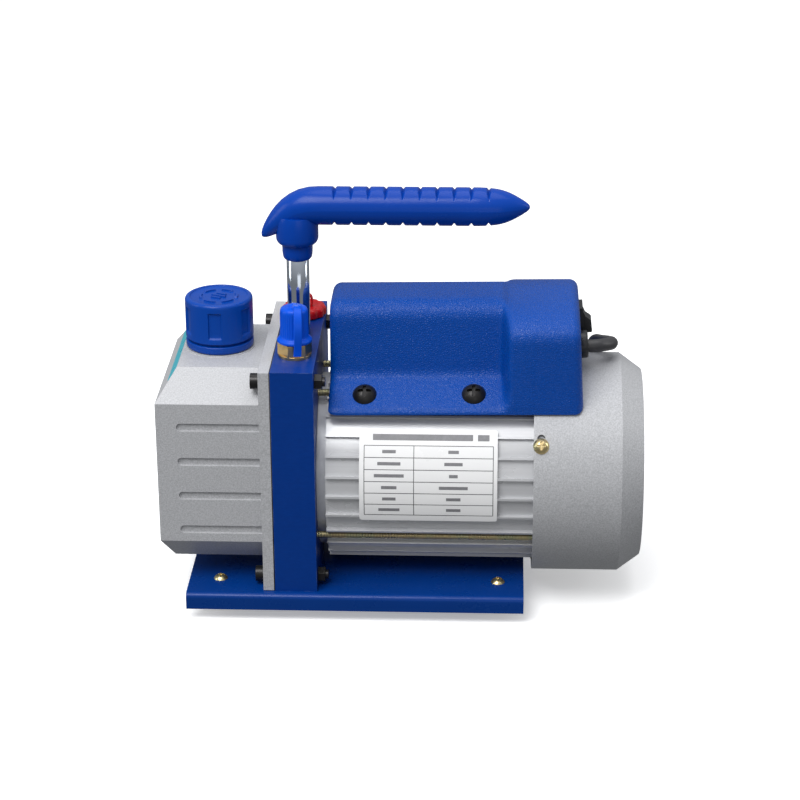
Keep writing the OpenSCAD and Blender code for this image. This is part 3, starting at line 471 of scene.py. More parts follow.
def copper_wire():
    colour = (0.42, 0.16, 0.05)
    look = Look("copper_wire", colour, 0.32, metal=0.7, coat=0.4)
    strands = look.noise(0.0009, 2.0, 0.5, stretch=(1.0, 0.25, 0.25))
    look.colour(look.mottle(strands, colour, 0.55, 1.4))
    look.sheen(0.003, 4.0, 0.55, 0.25, 0.45)
    look.bump(strands, 0.0003, 0.8)
    return look


def cast_iron():
    colour = (0.30, 0.31, 0.32)
    look = Look("iron", colour, 0.5, metal=0.85)
    grain = look.noise(0.0007, 4.0, 0.7)
    look.colour(look.mottle(grain, colour, 0.8, 1.2))
    look.rough(look.ramp(grain, 0.3, 0.7, 0.42, 0.62))
    look.bump(grain, 0.00006, 0.7)
    return look


# name, colour, roughness, grain size, grain depth, rubbed edges and shine
PLASTICS = (
    ("vane_composite", (0.11, 0.09, 0.075), 0.5, 0.0006, 0.00003, 0.0, 0.5),
    ("bright_blue_plastic", (0.0003, 0.075, 0.60), 0.33, 0.0012, 0.00003, 0.0, 0.2),
    ("red_plastic", (0.52, 0.006, 0.010), 0.35, 0.0012, 0.00003, 0.0, 0.3),
    ("cap_blue_plastic", (0.0003, 0.050, 0.33), 0.34, 0.0006, 0.00004, 0.1, 0.22),
    ("grip_blue_plastic", (0.0003, 0.044, 0.33), 0.26, 0.0016, 0.00004, 0.0, 0.2),
    ("black_plastic", (0.018, 0.019, 0.021), 0.38, 0.0006, 0.00004, 0.2, 0.5),
)


def make_looks():
    return {row[0]: plastic(*row) for row in PLASTICS} | {
        "base_blue": powder_coat(),
        "block_blue": painted_block(),
        "rubber": rubber("rubber"),
        "yellow_zinc": zinc(),
        "steel": machined("steel", (0.58, 0.59, 0.61), 0.28, (1, 0.2, 0.2)),
        "gasket": rubber("gasket", (0.035, 0.034, 0.032), 0.8),
        "cast_silver": silver_paint(),
        "black_oxide": machined("black_oxide", (0.030, 0.029, 0.029), 0.36, (1, 1, 1), metal=0.75, edge=0.6),
        "sight_glass": sight_glass(),
        "iron": cast_iron(),
        "die_cast": machined("die_cast", (0.58, 0.59, 0.61), 0.42, (1, 1, 1), metal=0.35, depth=0.00005),
        "threaded_zinc": threaded_zinc(),
        "ink": ink("ink", (0.05, 0.05, 0.055)),
        "pale_ink": ink("pale_ink", (0.20, 0.20, 0.21)),
        "teal_film": teal_film(),
        "oil": oil(),
        "bronze": machined("bronze", (0.55, 0.34, 0.14), 0.35, (1, 0.2, 0.2)),
        "extrusion": extrusion(),
        "brass": brass(),
        "chrome": chrome(),
        "laminations": laminations(),
        "copper_wire": copper_wire(),
        "label": label_film(),
        "box_blue_plastic": leather_plastic(),
        "cord_pvc": pvc_sheath(),
    }


# ---------------------------------------------------------------- mesh kit
def smooth_below(mesh, angle):
    mesh.shade_smooth()
    mesh.set_sharp_from_angle(angle=radians(angle))


def dress_node(name, look, bevel):
    """Gives a CAD node its material and a small bevel on its sharp edges."""
    piece = NODES[name]
    piece.data.materials.clear()
    piece.data.materials.append(look.material)
    weld = piece.modifiers.new("weld", "WELD")
    weld.merge_threshold = 2e-6
    if bevel:
        flat = piece.modifiers.new("flat", "DECIMATE")
        flat.decimate_type = "DISSOLVE"
        flat.angle_limit = radians(0.6)
        rounding = piece.modifiers.new("bevel", "BEVEL")
        rounding.width = bevel
        rounding.segments = 2
        rounding.limit_method = "ANGLE"
        rounding.angle_limit = radians(34)
        rounding.use_clamp_overlap = True
        rounding.harden_normals = True
    for stored in ("custom_normal", "sharp_face"):
        attribute = piece.data.attributes.get(stored)
        if attribute:
            piece.data.attributes.remove(attribute)
    smooth_below(piece.data, 32.0)


def new_piece(name, shape, slot, body=BODY, look=None, sharp=38.0, place=Matrix.Identity(4)):
    """A piece from vertices in millimetres and their faces, put where the matrix place says."""
    vertices, faces = shape
    mesh = bpy.data.meshes.new(name)
    mesh.from_pydata([tuple((place @ v) * MM) for v in vertices], [], faces)
    work = bmesh.new()
    work.from_mesh(mesh)
    bmesh.ops.recalc_face_normals(work, faces=work.faces)
    work.to_mesh(mesh)
    work.free()
    smooth_below(mesh, sharp)
    piece = linked(name, mesh)
    mesh.materials.append(LOOKS[look or slot].material)
    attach(piece, body)
    return piece


def loft(rings):
    """The vertices of closed rings of equal length in one list, and the faces between them and at both ends."""
    count = len(rings[0])
    vertices = [p for ring in rings for p in ring]
    faces = []
    for i in range(len(rings) - 1):
        for k in range(count):
            a, b = i * count + k, i * count + (k + 1) % count
            faces.append((a, b, b + count, a + count))
    faces.append(tuple(range(count - 1, -1, -1)))
    faces.append(tuple(range((len(rings) - 1) * count, len(rings) * count)))
    return vertices, faces


def joined(shapes):
    """Several shapes as one."""
    vertices, faces = [], []
    for v, f in shapes:
        faces += [tuple(i + len(vertices) for i in face) for face in f]
        vertices += v
    return vertices, faces


def filleted(points, radii, steps=6):
    """An open polyline in 2-D with its inner corners rounded."""
    out = [Vector(points[0])]
    for i in range(1, len(points) - 1):
        before, here, after = (Vector(points[j]) for j in (i - 1, i, i + 1))
        if radii[i] <= 0:
            out.append(here)
            continue
        to_before, to_after = (before - here), (after - here)
        reach = min(radii[i], to_before.length * 0.49, to_after.length * 0.49)
        first = here + to_before.normalized() * reach
        second = here + to_after.normalized() * reach
        for k in range(steps + 1):
            t = k / steps
            out.append((1 - t) ** 2 * first + 2 * t * (1 - t) * here + t * t * second)
    out.append(Vector(points[-1]))
    return out


def resampled(points, count):
    """count points evenly along a polyline."""
    lengths = [0.0]
    for a, b in zip(points, points[1:]):
        lengths.append(lengths[-1] + (b - a).length)
    out, j = [], 0
    for k in range(count):
        want = lengths[-1] * k / (count - 1)
        while j < len(points) - 2 and lengths[j + 1] < want:
            j += 1
        span = max(lengths[j + 1] - lengths[j], 1e-12)
        out.append(points[j].lerp(points[j + 1], (want - lengths[j]) / span))
    return out


def polar(radius, angle):
    return radius * cos(radians(angle)), radius * sin(radians(angle))


def round_z(radius, angle, z):
    """The point at a radius and an angle about Z."""
    return Vector((*polar(radius, angle), z))


def smoothstep(x):
    x = max(0.0, min(1.0, x))
    return x * x * (3 - 2 * x)


# ---------------------------------------------------------------- the lead
CORD_R = 3.5 * MM
COIL_CENTRE = Vector((58.0, 120.0, 0.0)) * MM
COIL_RADII = (45.0, 38.0, 31.0)
ROUTE_OUT = [
    (96.5, -10, 139.5), (100.4, -9.7, 139.4), (104, -8.3, 139.2), (108.5, -3.7, 138.2), (110.2, 2.5, 136.5),
    (108.5, 8.7, 134.6), (105.8, 13.9, 132.9), (103.7, 19.5, 131.2), (102.5, 26, 128.6), (102, 33, 124.2),
    (102, 39, 118.8), (102, 45, 112.5), (102, 51.5, 104.4), (102, 57.5, 95), (102, 61.8, 84.5),
    (101.8, 64.2, 73), (101.4, 65.6, 61), (100.8, 66.4, 49), (99.8, 67, 37.5), (98, 68, 27),
    (94.8, 69.4, 18), (90, 71, 10.8), (83.5, 72.8, 6), (75.5, 74.3, 4), (66, 75, 3.6),
]
ROUTE_IN = [
    (50, 75.1, 9.6), (42, 75.4, 7), (34, 76, 4.8), (26, 77, 4.4), (18, 78.2, 6), (10.5, 79.4, 9.4),
    (4, 80.3, 13.4), (-2, 80.9, 16.8), (-8, 81, 18.3),
]


def coil_turns(step=10):
    """Points of the six turns: inward on the floor, then outward on top of those."""
    points = []
    change = 50.0  # degrees in which the lead moves over to the next turn
    order = (0, 1, 2, 2, 1, 0, 0)
    for travelled in range(0, 6 * 360 + 1, step):
        turn, along = divmod(travelled, 360)
        here, after = COIL_RADII[order[turn]], COIL_RADII[order[min(turn + 1, 5)]]
        share = smoothstep((along - (360 - change)) / change)
        radius = here + (after - here) * share
        layer = 1.0 if turn > 2 else (share if turn == 2 else 0.0)
        points.append(COIL_CENTRE + round_z(radius, -90 - travelled, 3.5 + 7.0 * layer) * MM)
    return points


def curve_through(points, steps):
    """Points of a smooth curve through all of the given ones."""
    out = []
    for i in range(len(points) - 1):
        a, b, c, d = (points[max(0, min(j, len(points) - 1))] for j in range(i - 1, i + 3))
        for k in range(steps):
            t = k / steps
            out.append(0.5 * ((2 * b) + (c - a) * t + (2 * a - 5 * b + 4 * c - d) * t * t
                              + (3 * b - a - 3 * c + d) * t * t * t))
    out.append(points[-1])
    return out


def make_cord(plug):
    line = [Vector(p) * MM for p in ROUTE_OUT] + coil_turns() + [Vector(p) * MM for p in ROUTE_IN]
    points = curve_through(line, 3)
    data = bpy.data.curves.new("lead", "CURVE")
    data.dimensions = "3D"
    spline = data.splines.new("POLY")
    spline.points.add(len(points) - 1)
    for target, point in zip(spline.points, points):
        target.co = (*point, 1)
    spline.use_smooth = True
    data.bevel_depth = CORD_R
    data.bevel_resolution = 5
    data.use_fill_caps = True
    data.materials.append(LOOKS["cord_pvc"].material)
    lead = linked("lead", data)
    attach(lead, BODY)
    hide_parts("power_cord", "cord_coil")


# ---------------------------------------------------------------- replacement pieces
def even(count):
    return [360 * k / count for k in range(count)]


def wave(angle, count):
    """Between 0 and 1, with count crests in a full turn."""
    return 0.5 + 0.5 * cos(radians(angle * count))


def spun(profile, angles, shape=lambda r, z, angle: r):
    """Rings about Z from (radius, height) points, with shape(r, z, angle) able to change a radius."""
    return loft([[round_z(shape(r, z, angle), angle, z) for angle in angles] for r, z in profile])


def ribbon(points, normals, width, thickness):
    """A flat band along points: normals give the thin direction at each one."""
    outline = ((-1, -0.6), (-0.9, -1), (0.9, -1), (1, -0.6), (1, 0.6), (0.9, 1), (-0.9, 1), (-1, 0.6))
    rings = []
    for i, point in enumerate(points):
        along = (points[min(i + 1, len(points) - 1)] - points[max(i - 1, 0)]).normalized()
        thin = (normals[i] - along * normals[i].dot(along)).normalized()
        wide = along.cross(thin)
        rings.append([point + wide * (w * width / 2) + thin * (t * thickness / 2) for w, t in outline])
    return loft(rings)


# ---- moulded cover over the capacitor and the switch
BOX_X0, BOX_END_X, BOX_LEAN, BOX_TILT = -37.4, 95.0, 3.0, 0.85
LEDGE_HW, LEDGE_H = 41.2, 41.8
# heights above the motor's axis at which the two outlines are paired up
SHOULDER_H, KNEE_H = 60.0, 47.0
BOX_TOP, BLOCK_TOP, BLOCK_EDGE = 95.8, 93.9, 80.6
AXIS_H = 69.6


def hump_half():
    corner = [polar(9.5, 90 - 8.2 * k) for k in range(11)]
    points = [(0, BOX_TOP + 0.3)] + [(11.0 + y, BOX_TOP - 9.5 + h) for y, h in corner]
    points += [(22.3, 56.5), (39.8, 45.0), (LEDGE_HW, 43.0), (LEDGE_HW, LEDGE_H)]
    radii = [0] * (len(points) - 4) + [2.6, 2.4, 0.8, 0]
    return filleted(points, radii)


def block_half():
    points = [(40.2 * sin(radians(a)) ** 0.8,
               BLOCK_EDGE + (BLOCK_TOP - BLOCK_EDGE) * cos(radians(a)) ** 0.8) for a in range(0, 90, 5)]
    points += [(40.2, BLOCK_EDGE), (40.5, 70), (40.9, 54), (LEDGE_HW, 46), (LEDGE_HW, LEDGE_H + 0.6),
               (LEDGE_HW, LEDGE_H)]
    return [Vector(p) for p in points]


def split_at(points, heights, counts):
    """Resamples a half outline piece by piece, cut at the given heights, so that two of them pair up."""
    out, start = [], 0
    for height, count in zip(heights + [None], counts):
        stop = len(points) - 1
        if height is not None:
            stop = next(i for i in range(start, len(points)) if points[i][1] <= height)
        out += resampled(points[start:stop + 1], count)[:-1]
        start = stop
    return out + [points[-1]]


def inset_outline(half, distance, low_share, low_rise):
    """Moves a half outline inward; the ledge by less, and the bottom edge up by low_rise."""
    out = []
    for i, p in enumerate(half):
        ahead, behind = half[min(i + 1, len(half) - 1)], half[max(i - 1, 0)]
        along = (ahead - behind).normalized()
        share = low_share + (1 - low_share) * smoothstep((p[1] - KNEE_H) / (SHOULDER_H - KNEE_H))
        out.append(p - Vector((-along[1], along[0])) * (distance * share))
    out[0] = Vector((0, half[0][1] - distance))
    # below the knee the heights are pressed together evenly, so that the outline never folds back on itself
    knee = next(i for i, p in enumerate(half) if p[1] <= KNEE_H)
    top, low, floor = out[knee][1], out[-1][1], half[-1][1] + low_rise
    for i in range(1, len(out)):
        height = out[i][1] if i < knee else floor + (out[i][1] - low) * (top - floor) / (top - low)
        out[i] = Vector((max(out[i][0], out[i - 1][0]), min(height, out[i - 1][1])))
    return out


def cover_ring(half, x_of, seat_r):
    """One closed section in millimetres: over the top from -Y to +Y, then back along the motor."""
    rise = sin(radians(BOX_TILT))
    ring = []
    for side in (-1, 1):
        row = half[::-1] if side < 0 else half[1:]
        for y, h in row:
            x = x_of(h)
            ring.append(Vector((x, side * y, AXIS_H + h + (x - BOX_X0) * rise)))
    low = ring[0].z - AXIS_H
    seat_y = min(sqrt(max(seat_r ** 2 - low ** 2, 1.0)), half[-1][0] - 0.8)
    for k in range(11):
        y = seat_y * (1 - 2 * k / 10)
        h = sqrt(seat_r ** 2 - y * y)
        ring.append(Vector((x_of(h), y, AXIS_H + h)))
    return ring


def end_lean_x(height):
    """x of the switch end at a height above the motor's axis."""
    return BOX_END_X - (height - LEDGE_H) * tan(radians(BOX_LEAN))


def make_cover():
    counts = (26, 12, 14)
    hump = split_at(hump_half(), [SHOULDER_H, KNEE_H], counts)
    block = split_at(block_half(), [SHOULDER_H, KNEE_H], counts)
    seat, cap_seat = 52.95, 58.85
    rings = []
    left_r, right_r = 4.6, 4.4
    for k in range(8, -1, -1):
        a = radians(90 * k / 8)
        depth = left_r * (1 - cos(a))
        rings.append(cover_ring(inset_outline(hump, depth, 0.4, 0.42 * depth),
                                lambda h, x=BOX_X0 + left_r * (1 - sin(a)): x, seat))
    for x in (-20.0, 10.0, 30.0, 44.0):
        rings.append(cover_ring(hump, lambda h, x=x: x, seat))
    # the wall between the two sections: a hollow corner, a slanting wall and a rounded corner
    wall = [(50.4, 0.0), (51.6, 0.02), (52.3, 0.07), (52.9, 0.17), (53.5, 0.32), (54.1, 0.48), (54.7, 0.64),
            (55.3, 0.78), (56.0, 0.89), (56.8, 0.955), (57.8, 0.99), (58.8, 1.0)]
    for x, share in wall:
        half = [h.lerp(b, share) for h, b in zip(hump, block)]
        rings.append(cover_ring(half, lambda h, x=x: x, seat))
    for x, seat_r in ((68.9, seat), (69.1, cap_seat), (80.0, cap_seat)):
        rings.append(cover_ring(block, lambda h, x=x: x, seat_r))
    for k in range(9):
        a = radians(90 * k / 8)
        depth = right_r * (1 - cos(a))
        rings.append(cover_ring(inset_outline(block, depth, 1.0, 0.8 * depth),
                                lambda h, a=a: end_lean_x(h + 1.9) - right_r * (1 - sin(a)), cap_seat))
    cover = new_piece("box_cover", loft(rings), "box_blue_plastic", sharp=42.0)
    cut_out(cover, end_frame(SWITCH_Y, SWITCH_H), (-6.2, -8.4, -25), (6.2, 8.4, 4))
    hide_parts("electrical_box")


SWITCH_Y, SWITCH_H = 6.0, 78.4
GLAND_Y, GLAND_H = -10.0, 70.8


def end_frame(y, height):
    """Millimetre frame on the switch end, with Z out of it and Y up."""
    place = Matrix.Translation((end_lean_x(height), y, AXIS_H + height))
    return place @ Matrix.Rotation(-radians(BOX_LEAN), 4, "Y") @ Matrix.Rotation(pi / 2, 4, "Y") \
        @ Matrix.Rotation(pi / 2, 4, "Z")


BLOCK_FACES = [(0, 3, 2, 1), (4, 5, 6, 7), (0, 1, 5, 4), (1, 2, 6, 5), (2, 3, 7, 6), (3, 0, 4, 7)]


def cut_out(piece, frame_mm, low, high):
    """Cuts a block out of a piece, from corner to corner in the given millimetre frame."""
    corners = [Vector((x, y, z)) for z in (low[2], high[2]) for x, y in
               ((low[0], low[1]), (high[0], low[1]), (high[0], high[1]), (low[0], high[1]))]
    mesh = bpy.data.meshes.new("cutter")
    mesh.from_pydata([tuple((frame_mm @ c) * MM) for c in corners], [], BLOCK_FACES)
    cutter = linked("cutter", mesh)
    cut = piece.modifiers.new("cut", "BOOLEAN")
    cut.operation = "DIFFERENCE"
    cut.object = cutter
    bpy.context.view_layer.update()
    result = bpy.data.meshes.new_from_object(piece.evaluated_get(bpy.context.evaluated_depsgraph_get()))
    piece.modifiers.clear()
    piece.data = result
    bpy.data.objects.remove(cutter)


# ---- carrying grip
GRIP_AXIS = 212.0
GRIP_R = 10.05
POST_X = -54.85
GROOVE_XS = [-35 + 8.86 * i for i in range(10)]
# a groove's floor is an arc of GROOVE_R about a point GROOVE_DROP past the axis; GROOVE_LEAN turns it to the front,
# and its flanks rise by GROOVE_FLANK per millimetre
GROOVE_R, GROOVE_DROP, GROOVE_LEAN, GROOVE_FLANK = 16.9, 8.6, 4.6, 1.3


def groove_depth(x, angle):
    """Depth of the nearest finger groove, above or below, at x and an angle from +Y over the top."""
    deepest = 0.0
    for side in (1, -1):
        up = sin(radians(angle - side * GROOVE_LEAN)) * side
        if up > 0:
            floor = sqrt(max(GROOVE_R ** 2 - GROOVE_DROP ** 2 * (1 - up * up), 0.0)) - GROOVE_DROP * up
            deepest = max(deepest, GRIP_R - floor)
    return max(0.0, deepest - GROOVE_FLANK * min(abs(x - g) for g in GROOVE_XS))


def between(table, x):
    """The value at x on straight lines through (x, value) pairs."""
    for (xa, va), (xb, vb) in zip(table, table[1:]):
        if xa <= x <= xb:
            return va + (vb - va) * (x - xa) / (xb - xa)


def make_grip():
    steps = 96
    nose = [(40, GRIP_R), (43, 9.93), (46, 9.7), (48.6, 9.38), (51, 8.94), (53.4, 8.24), (55.6, 7.42), (57.6, 6.48),
            (59.4, 5.5), (61.2, 4.5), (62.8, 3.5), (64.2, 2.55), (65.2, 1.75), (65.8, 1.0), (66.05, 0.35)]
    horn = [(-43.5, 0.0, GRIP_R), (-47.5, 0.15, 9.93), (-51.5, 0.9, 9.6), (-55.1, 2.25, 9.0), (-58.5, 4.1, 8.2),
            (-61.6, 6.3, 7.3), (-64.5, 8.7, 6.25), (-67.0, 10.95, 5.15), (-69.2, 13.0, 4.0), (-70.9, 14.8, 2.95),
            (-72.1, 16.1, 1.9), (-72.8, 16.9, 0.9), (-73.0, 17.15, 0.3)]
    stations = [(x, -drop, r) for x, drop, r in reversed(horn)]
    beside = (-1.6, -1.15, -0.85, -0.55, -0.25, 0, 0.25, 0.55, 0.85, 1.15, 1.6, 4.43)
    xs = [-39.5] + [g + d for g in GROOVE_XS for d in beside]
    stations += [(x, 0.0, GRIP_R) for x in xs if x < 39.5] + [(x, 0.0, r) for x, r in nose]
    # the last groove cuts into the taper, which needs stations of its own there
    stations += [(x, 0.0, between(nose, x)) for x in xs
                 if 39.5 <= x <= 46.4 and all(abs(x - n[0]) > 0.2 for n in nose)]
    stations.sort(key=lambda s: s[0])
    rings = []
    for i, (x, z, r) in enumerate(stations):
        before, after = stations[max(i - 1, 0)], stations[min(i + 1, len(stations) - 1)]
        slope = Vector((after[0] - before[0], 0, after[1] - before[1])).normalized()
        up = Vector((-slope.z, 0, slope.x))
        ring = []
        for k in range(steps):
            angle = 360 * k / steps
            reach = r - (groove_depth(x, angle) if -37 < x < 47 else 0.0)
            if k % (steps // 2) == 0 and r > 3:
                reach += 0.10  # the mould's parting line
            side, rise = polar(reach, angle)
            ring.append(Vector((x, side, GRIP_AXIS + z)) + up * rise)
        rings.append(ring)
    grip = new_piece("grip", loft(rings), "grip_blue_plastic", sharp=34.0)
    hub = [(5.98, 183.4), (6.9, 183.4), (7.35, 183.9), (7.75, 185.2), (7.95, 187.2), (8.0, 190.7), (8.1, 191.3),
           (8.35, 191.55), (9.3, 191.7), (10.2, 192.5), (10.95, 193.8), (11.1, 195.0), (11.1, 204.0), (10.4, 207.0),
           (5.98, 207.0)]
    hub_piece = new_piece("grip_hub", spun(hub, even(72)), "grip_blue_plastic", sharp=40.0,
                          place=Matrix.Translation((POST_X, 0, 0)))
    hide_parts("handle_grip")
    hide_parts("handle_grip")


# ---- oil filler cap
FILLER_X, TANK_TOP = -97.1, 133.9
CAP_TURN = -91.5


def make_oil_cap():
    low, high = TANK_TOP + 0.9, TANK_TOP + 28.3
    mid = low + 4.8
    edges = (-11.6, -10.9, -10.2, -5.0, 0.0, 5.0, 10.2, 10.9, 11.6)
    angles = []
    for panel in range(6):
        angles += [CAP_TURN + 60 * panel + e for e in edges]
        angles += [CAP_TURN + 60 * panel + e for e in (17, 23.5, 30, 36.5, 43)]
    panel_low, panel_high = mid + 3.4, high - 4.2

    def shape(r, z, angle):
        if r < 16.5 or not panel_low - 0.1 <= z <= panel_high + 0.1:
            return r
        offset = abs((angle - CAP_TURN + 30) % 60 - 30)
        inside = smoothstep((11.0 - offset) / 0.9 + 0.4)
        tall = smoothstep((z - panel_low) / 1.4) * smoothstep((panel_high - z) / 0.7)
        return r - 0.95 * inside * tall

    r = 17.9
    profile = [(13.9, low + 0.2), (r - 1.1, low), (r - 0.5, low + 0.15), (r - 0.1, low + 0.7), (r, low + 1.3),
               (r, mid - 1.1), (r - 0.2, mid - 0.85), (r - 1.9, mid - 0.6), (r - 1.9, mid + 0.6),
               (r - 0.2, mid + 0.85), (r, mid + 1.1)]
    profile += [(r, panel_low + d) for d in (-0.05, 0.35, 0.7, 1.05, 1.45)]
    steps = 6
    profile += [(r, panel_low + 1.45 + (panel_high - panel_low - 2.2) * k / steps) for k in range(1, steps + 1)]
    profile += [(r, panel_high - 0.35), (r, panel_high + 0.05), (r, high - 2.2)]
    profile += [(r - 1.7 * (1 - cos(radians(a))), high - 1.9 + 1.9 * sin(radians(a)))
                for a in (15, 30, 45, 60, 75, 90)]
    profile += [(r - 2.6, high), (r - 2.9, high - 0.55), (r - 3.5, high - 0.8), (8, high - 0.8), (0.01, high - 0.8)]
    place = Matrix.Translation((FILLER_X, 0, 0))
    cap = new_piece("filler_cap", spun(profile, angles, shape), "cap_blue_plastic", body="oil_cap", sharp=30.0,
                    place=place)
    # plain raised relief: a broken ring round three short bars
    foot, crest = high - 0.86, high - 0.01
    marks = []
    for start in (8, 68, 128, 188, 248, 308):
        rows = []
        for k in range(13):
            angle, top = start + 44 * k / 12, crest if 0 < k < 12 else foot
            rows.append([round_z(8.9, angle, foot), round_z(9.05, angle, top), round_z(10.15, angle, top),
                         round_z(10.3, angle, foot)])
        marks.append(loft(rows))
    for offset, length in ((-3.0, 5.5), (0.0, 8.5), (3.0, 5.5)):
        corners = [Vector((x * (length / 2 - inset), offset + y * (0.75 - inset), z))
                   for inset, z in ((0.0, foot), (0.2, crest))
                   for x, y in ((-1, -1), (1, -1), (1, 1), (-1, 1))]
        marks.append((corners, BLOCK_FACES))
    relief = new_piece("filler_cap_relief", joined(marks), "cap_blue_plastic", body="oil_cap", sharp=30.0,
                       place=place @ Matrix.Rotation(radians(-24), 4, "Z"))
    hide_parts("oil_cap")
    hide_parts("oil_cap")


def make_strap(name, origin, path, centre, size, slot, body):
    """A flat strap along a path and facing a centre, both measured from the origin."""
    points = curve_through([origin + Vector(p) for p in path], 3)
    centre = origin + Vector(centre)
    return new_piece(name, ribbon(points, [(p - centre).normalized() for p in points], *size), slot, body=body)


# ---- inlet cap with its strap
INLET = (-54.95, -28.3)
BLOCK_TOP_Z = 139.7
HEX_TOP = BLOCK_TOP_Z + 7.7


def make_inlet_cap():
    z0 = HEX_TOP + 0.3
    ribs = 34

    def shape(r, z, angle):
        if not (z0 + 2.4 < z < z0 + 16.2 and r > 6.9):
            return r
        height = 0.24 * min(1.0, z - z0 - 2.4, (z0 + 16.2 - z) / 0.8)
        return r + height * wave(angle, ribs)

    profile = [(5.8, z0 + 0.1), (8.9, z0), (9.1, z0 + 0.3), (9.1, z0 + 1.1), (8.8, z0 + 1.6), (7.9, z0 + 2.1),
               (7.3, z0 + 2.9), (7.15, z0 + 3.6), (7.1, z0 + 6), (7.1, z0 + 10), (7.1, z0 + 14), (7.1, z0 + 15.3),
               (7.2, z0 + 16.3), (7.1, z0 + 17.2), (6.7, z0 + 18.0), (6.0, z0 + 18.5), (4.4, z0 + 18.8),
               (2.9, z0 + 18.9), (2.6, z0 + 19.6), (2.1, z0 + 20.1), (1.2, z0 + 20.35), (0.01, z0 + 20.4)]
    cap = new_piece("port_cap", spun(profile, even(ribs * 6), shape), "bright_blue_plastic", body="inlet_cap",
                    sharp=34.0, place=Matrix.Translation((*INLET, 0)))
    path = [(0.6, 1.8, 18.2), (0.9, 0.6, 19.2), (1.4, -1.4, 19.7), (1.9, -3.6, 19.7), (2.3, -6.0, 19.1),
            (2.6, -8.2, 17.7), (2.8, -10.0, 15.0), (2.9, -11.1, 11.4), (2.9, -11.4, 8.0), (2.8, -11.2, 4.6),
            (2.6, -10.8, 1.3), (2.4, -10.4, -1.7), (2.2, -10.3, -4.8)]
    strap = make_strap("port_cap_strap", Vector((*INLET, z0)), path, (0, 2, 6), (4.0, 1.2), "bright_blue_plastic",
                       "inlet_cap")
    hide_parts("inlet_cap")
    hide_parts("inlet_cap")


# ---- red cap of the second port
SECOND = (-54.85, 33.0)


def make_red_cap():
    z0 = BLOCK_TOP_Z + 0.3

    def shape(r, z, angle):
        if r < 9.4:
            return r
        return r - 0.9 * (1 - wave(angle, 12)) ** 1.5 * min(1.0, (r - 9.4) / 1.2)

    profile = [(6.4, z0 + 0.1), (11.4, z0), (11.9, z0 + 0.4), (12.0, z0 + 1.2), (12.0, z0 + 3.2), (11.7, z0 + 4.1),
               (11.0, z0 + 4.8), (10.0, z0 + 5.2), (9.2, z0 + 5.4), (8.2, z0 + 5.2), (7.6, z0 + 4.7), (6.6, z0 + 4.5),
               (4.2, z0 + 4.5), (3.8, z0 + 5.3), (3.0, z0 + 5.6), (0.01, z0 + 5.7)]
    cap = new_piece("second_cap", spun(profile, even(144), shape), "red_plastic", body="red_cap", sharp=34.0,
                    place=Matrix.Translation((*SECOND, 0)))
    path = [(4.1, 0, 4.4), (4.3, 0, 7.0), (4.0, 0, 9.6), (2.2, 0, 11.2), (-0.4, 0, 11.7), (-3.0, 0, 11.0),
            (-4.6, 0, 8.8), (-4.8, 0, 6.4), (-4.6, 0, 4.4)]
    strap = make_strap("second_cap_strap", Vector((*SECOND, z0)), path, (0, 0, 4.4), (3.6, 0.9), "red_plastic",
                       "red_cap")
    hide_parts("red_cap")
    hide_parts("red_cap")


# ---- rating label without lettering
def round_x(x, radius, angle, height=AXIS_H):
    """The point at a radius and an angle about a line along X at a height."""
    y, z = polar(radius, angle)
    return Vector((x, y, height + z))


def curved_patch(x0, x1, angle0, angle1, radius, thickness, corner=0.0, steps=24):
    """A thin plate bent round the motor, with rounded corners."""
    length = radians(angle1 - angle0) * radius
    marks = {k / steps for k in range(steps + 1)}
    if corner:
        ends = {share * corner / length for share in (0.07, 0.3, 0.6, 1)}
        marks |= ends | {1 - end for end in ends}
    rows = []
    for share in sorted(marks):
        angle = angle0 + (angle1 - angle0) * share
        near = min(share, 1 - share) * length
        cut = corner - sqrt(max(corner ** 2 - (corner - near) ** 2, 0.0)) if corner and near < corner else 0.0
        rows.append([round_x(x, r, angle) for x, r in ((x0 + cut, radius), (x1 - cut, radius),
                                                       (x1 - cut, radius + thickness),
                                                       (x0 + cut, radius + thickness))])
    return loft(rows)


def make_label():
    film_r, film_t = 52.64, 0.3
    film = new_piece("label_film", curved_patch(-21.0, 50.8, 139.6, 194.2, film_r, film_t, 1.5), "label", sharp=40.0)
    ink_r, ink_t = film_r + film_t + 0.005, 0.03
    left, right, column = -18.4, 48.6, 7.4
    first, pitch, rows = 149.3, 6.83, 6  # angles of the table's first line and from line to line
    line = 0.34
    half = degrees(line / 2 / ink_r)
    lines = [curved_patch(left, right, first + pitch * k - half, first + pitch * k + half, ink_r, ink_t, steps=1)
             for k in range(rows + 1)]
    lines += [curved_patch(x - line / 2, x + line / 2, first, first + pitch * rows, ink_r, ink_t)
              for x in (left, column, right)]
    ruling = new_piece("label_ruling", joined(lines), "label", look="ink")
    # plain bars stand where the entries would be
    bars = [curved_patch(x0, x1, 142.7, 146.3, ink_r, ink_t, steps=3) for x0, x1 in ((-14.0, 38.0), (40.5, 46.5))]
    half = degrees(0.85 / ink_r)
    entries = ((7.0, 5.5), (12.0, 9.5), (15.5, 4.5), (8.0, 15.0), (7.0, 7.5), (11.0, 7.5))
    for k, (name_w, value_w) in enumerate(entries):
        middle = first + pitch * (k + 0.5)
        for centre, width in (((left + column) / 2, name_w), ((column + right) / 2, value_w)):
            bars.append(curved_patch(centre - width / 2, centre + width / 2, middle - half, middle + half,
                                     ink_r, ink_t, steps=2))
    marks = new_piece("label_bars", joined(bars), "label", look="pale_ink")
    for piece in (film, ruling, marks):
        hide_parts("rating_label")


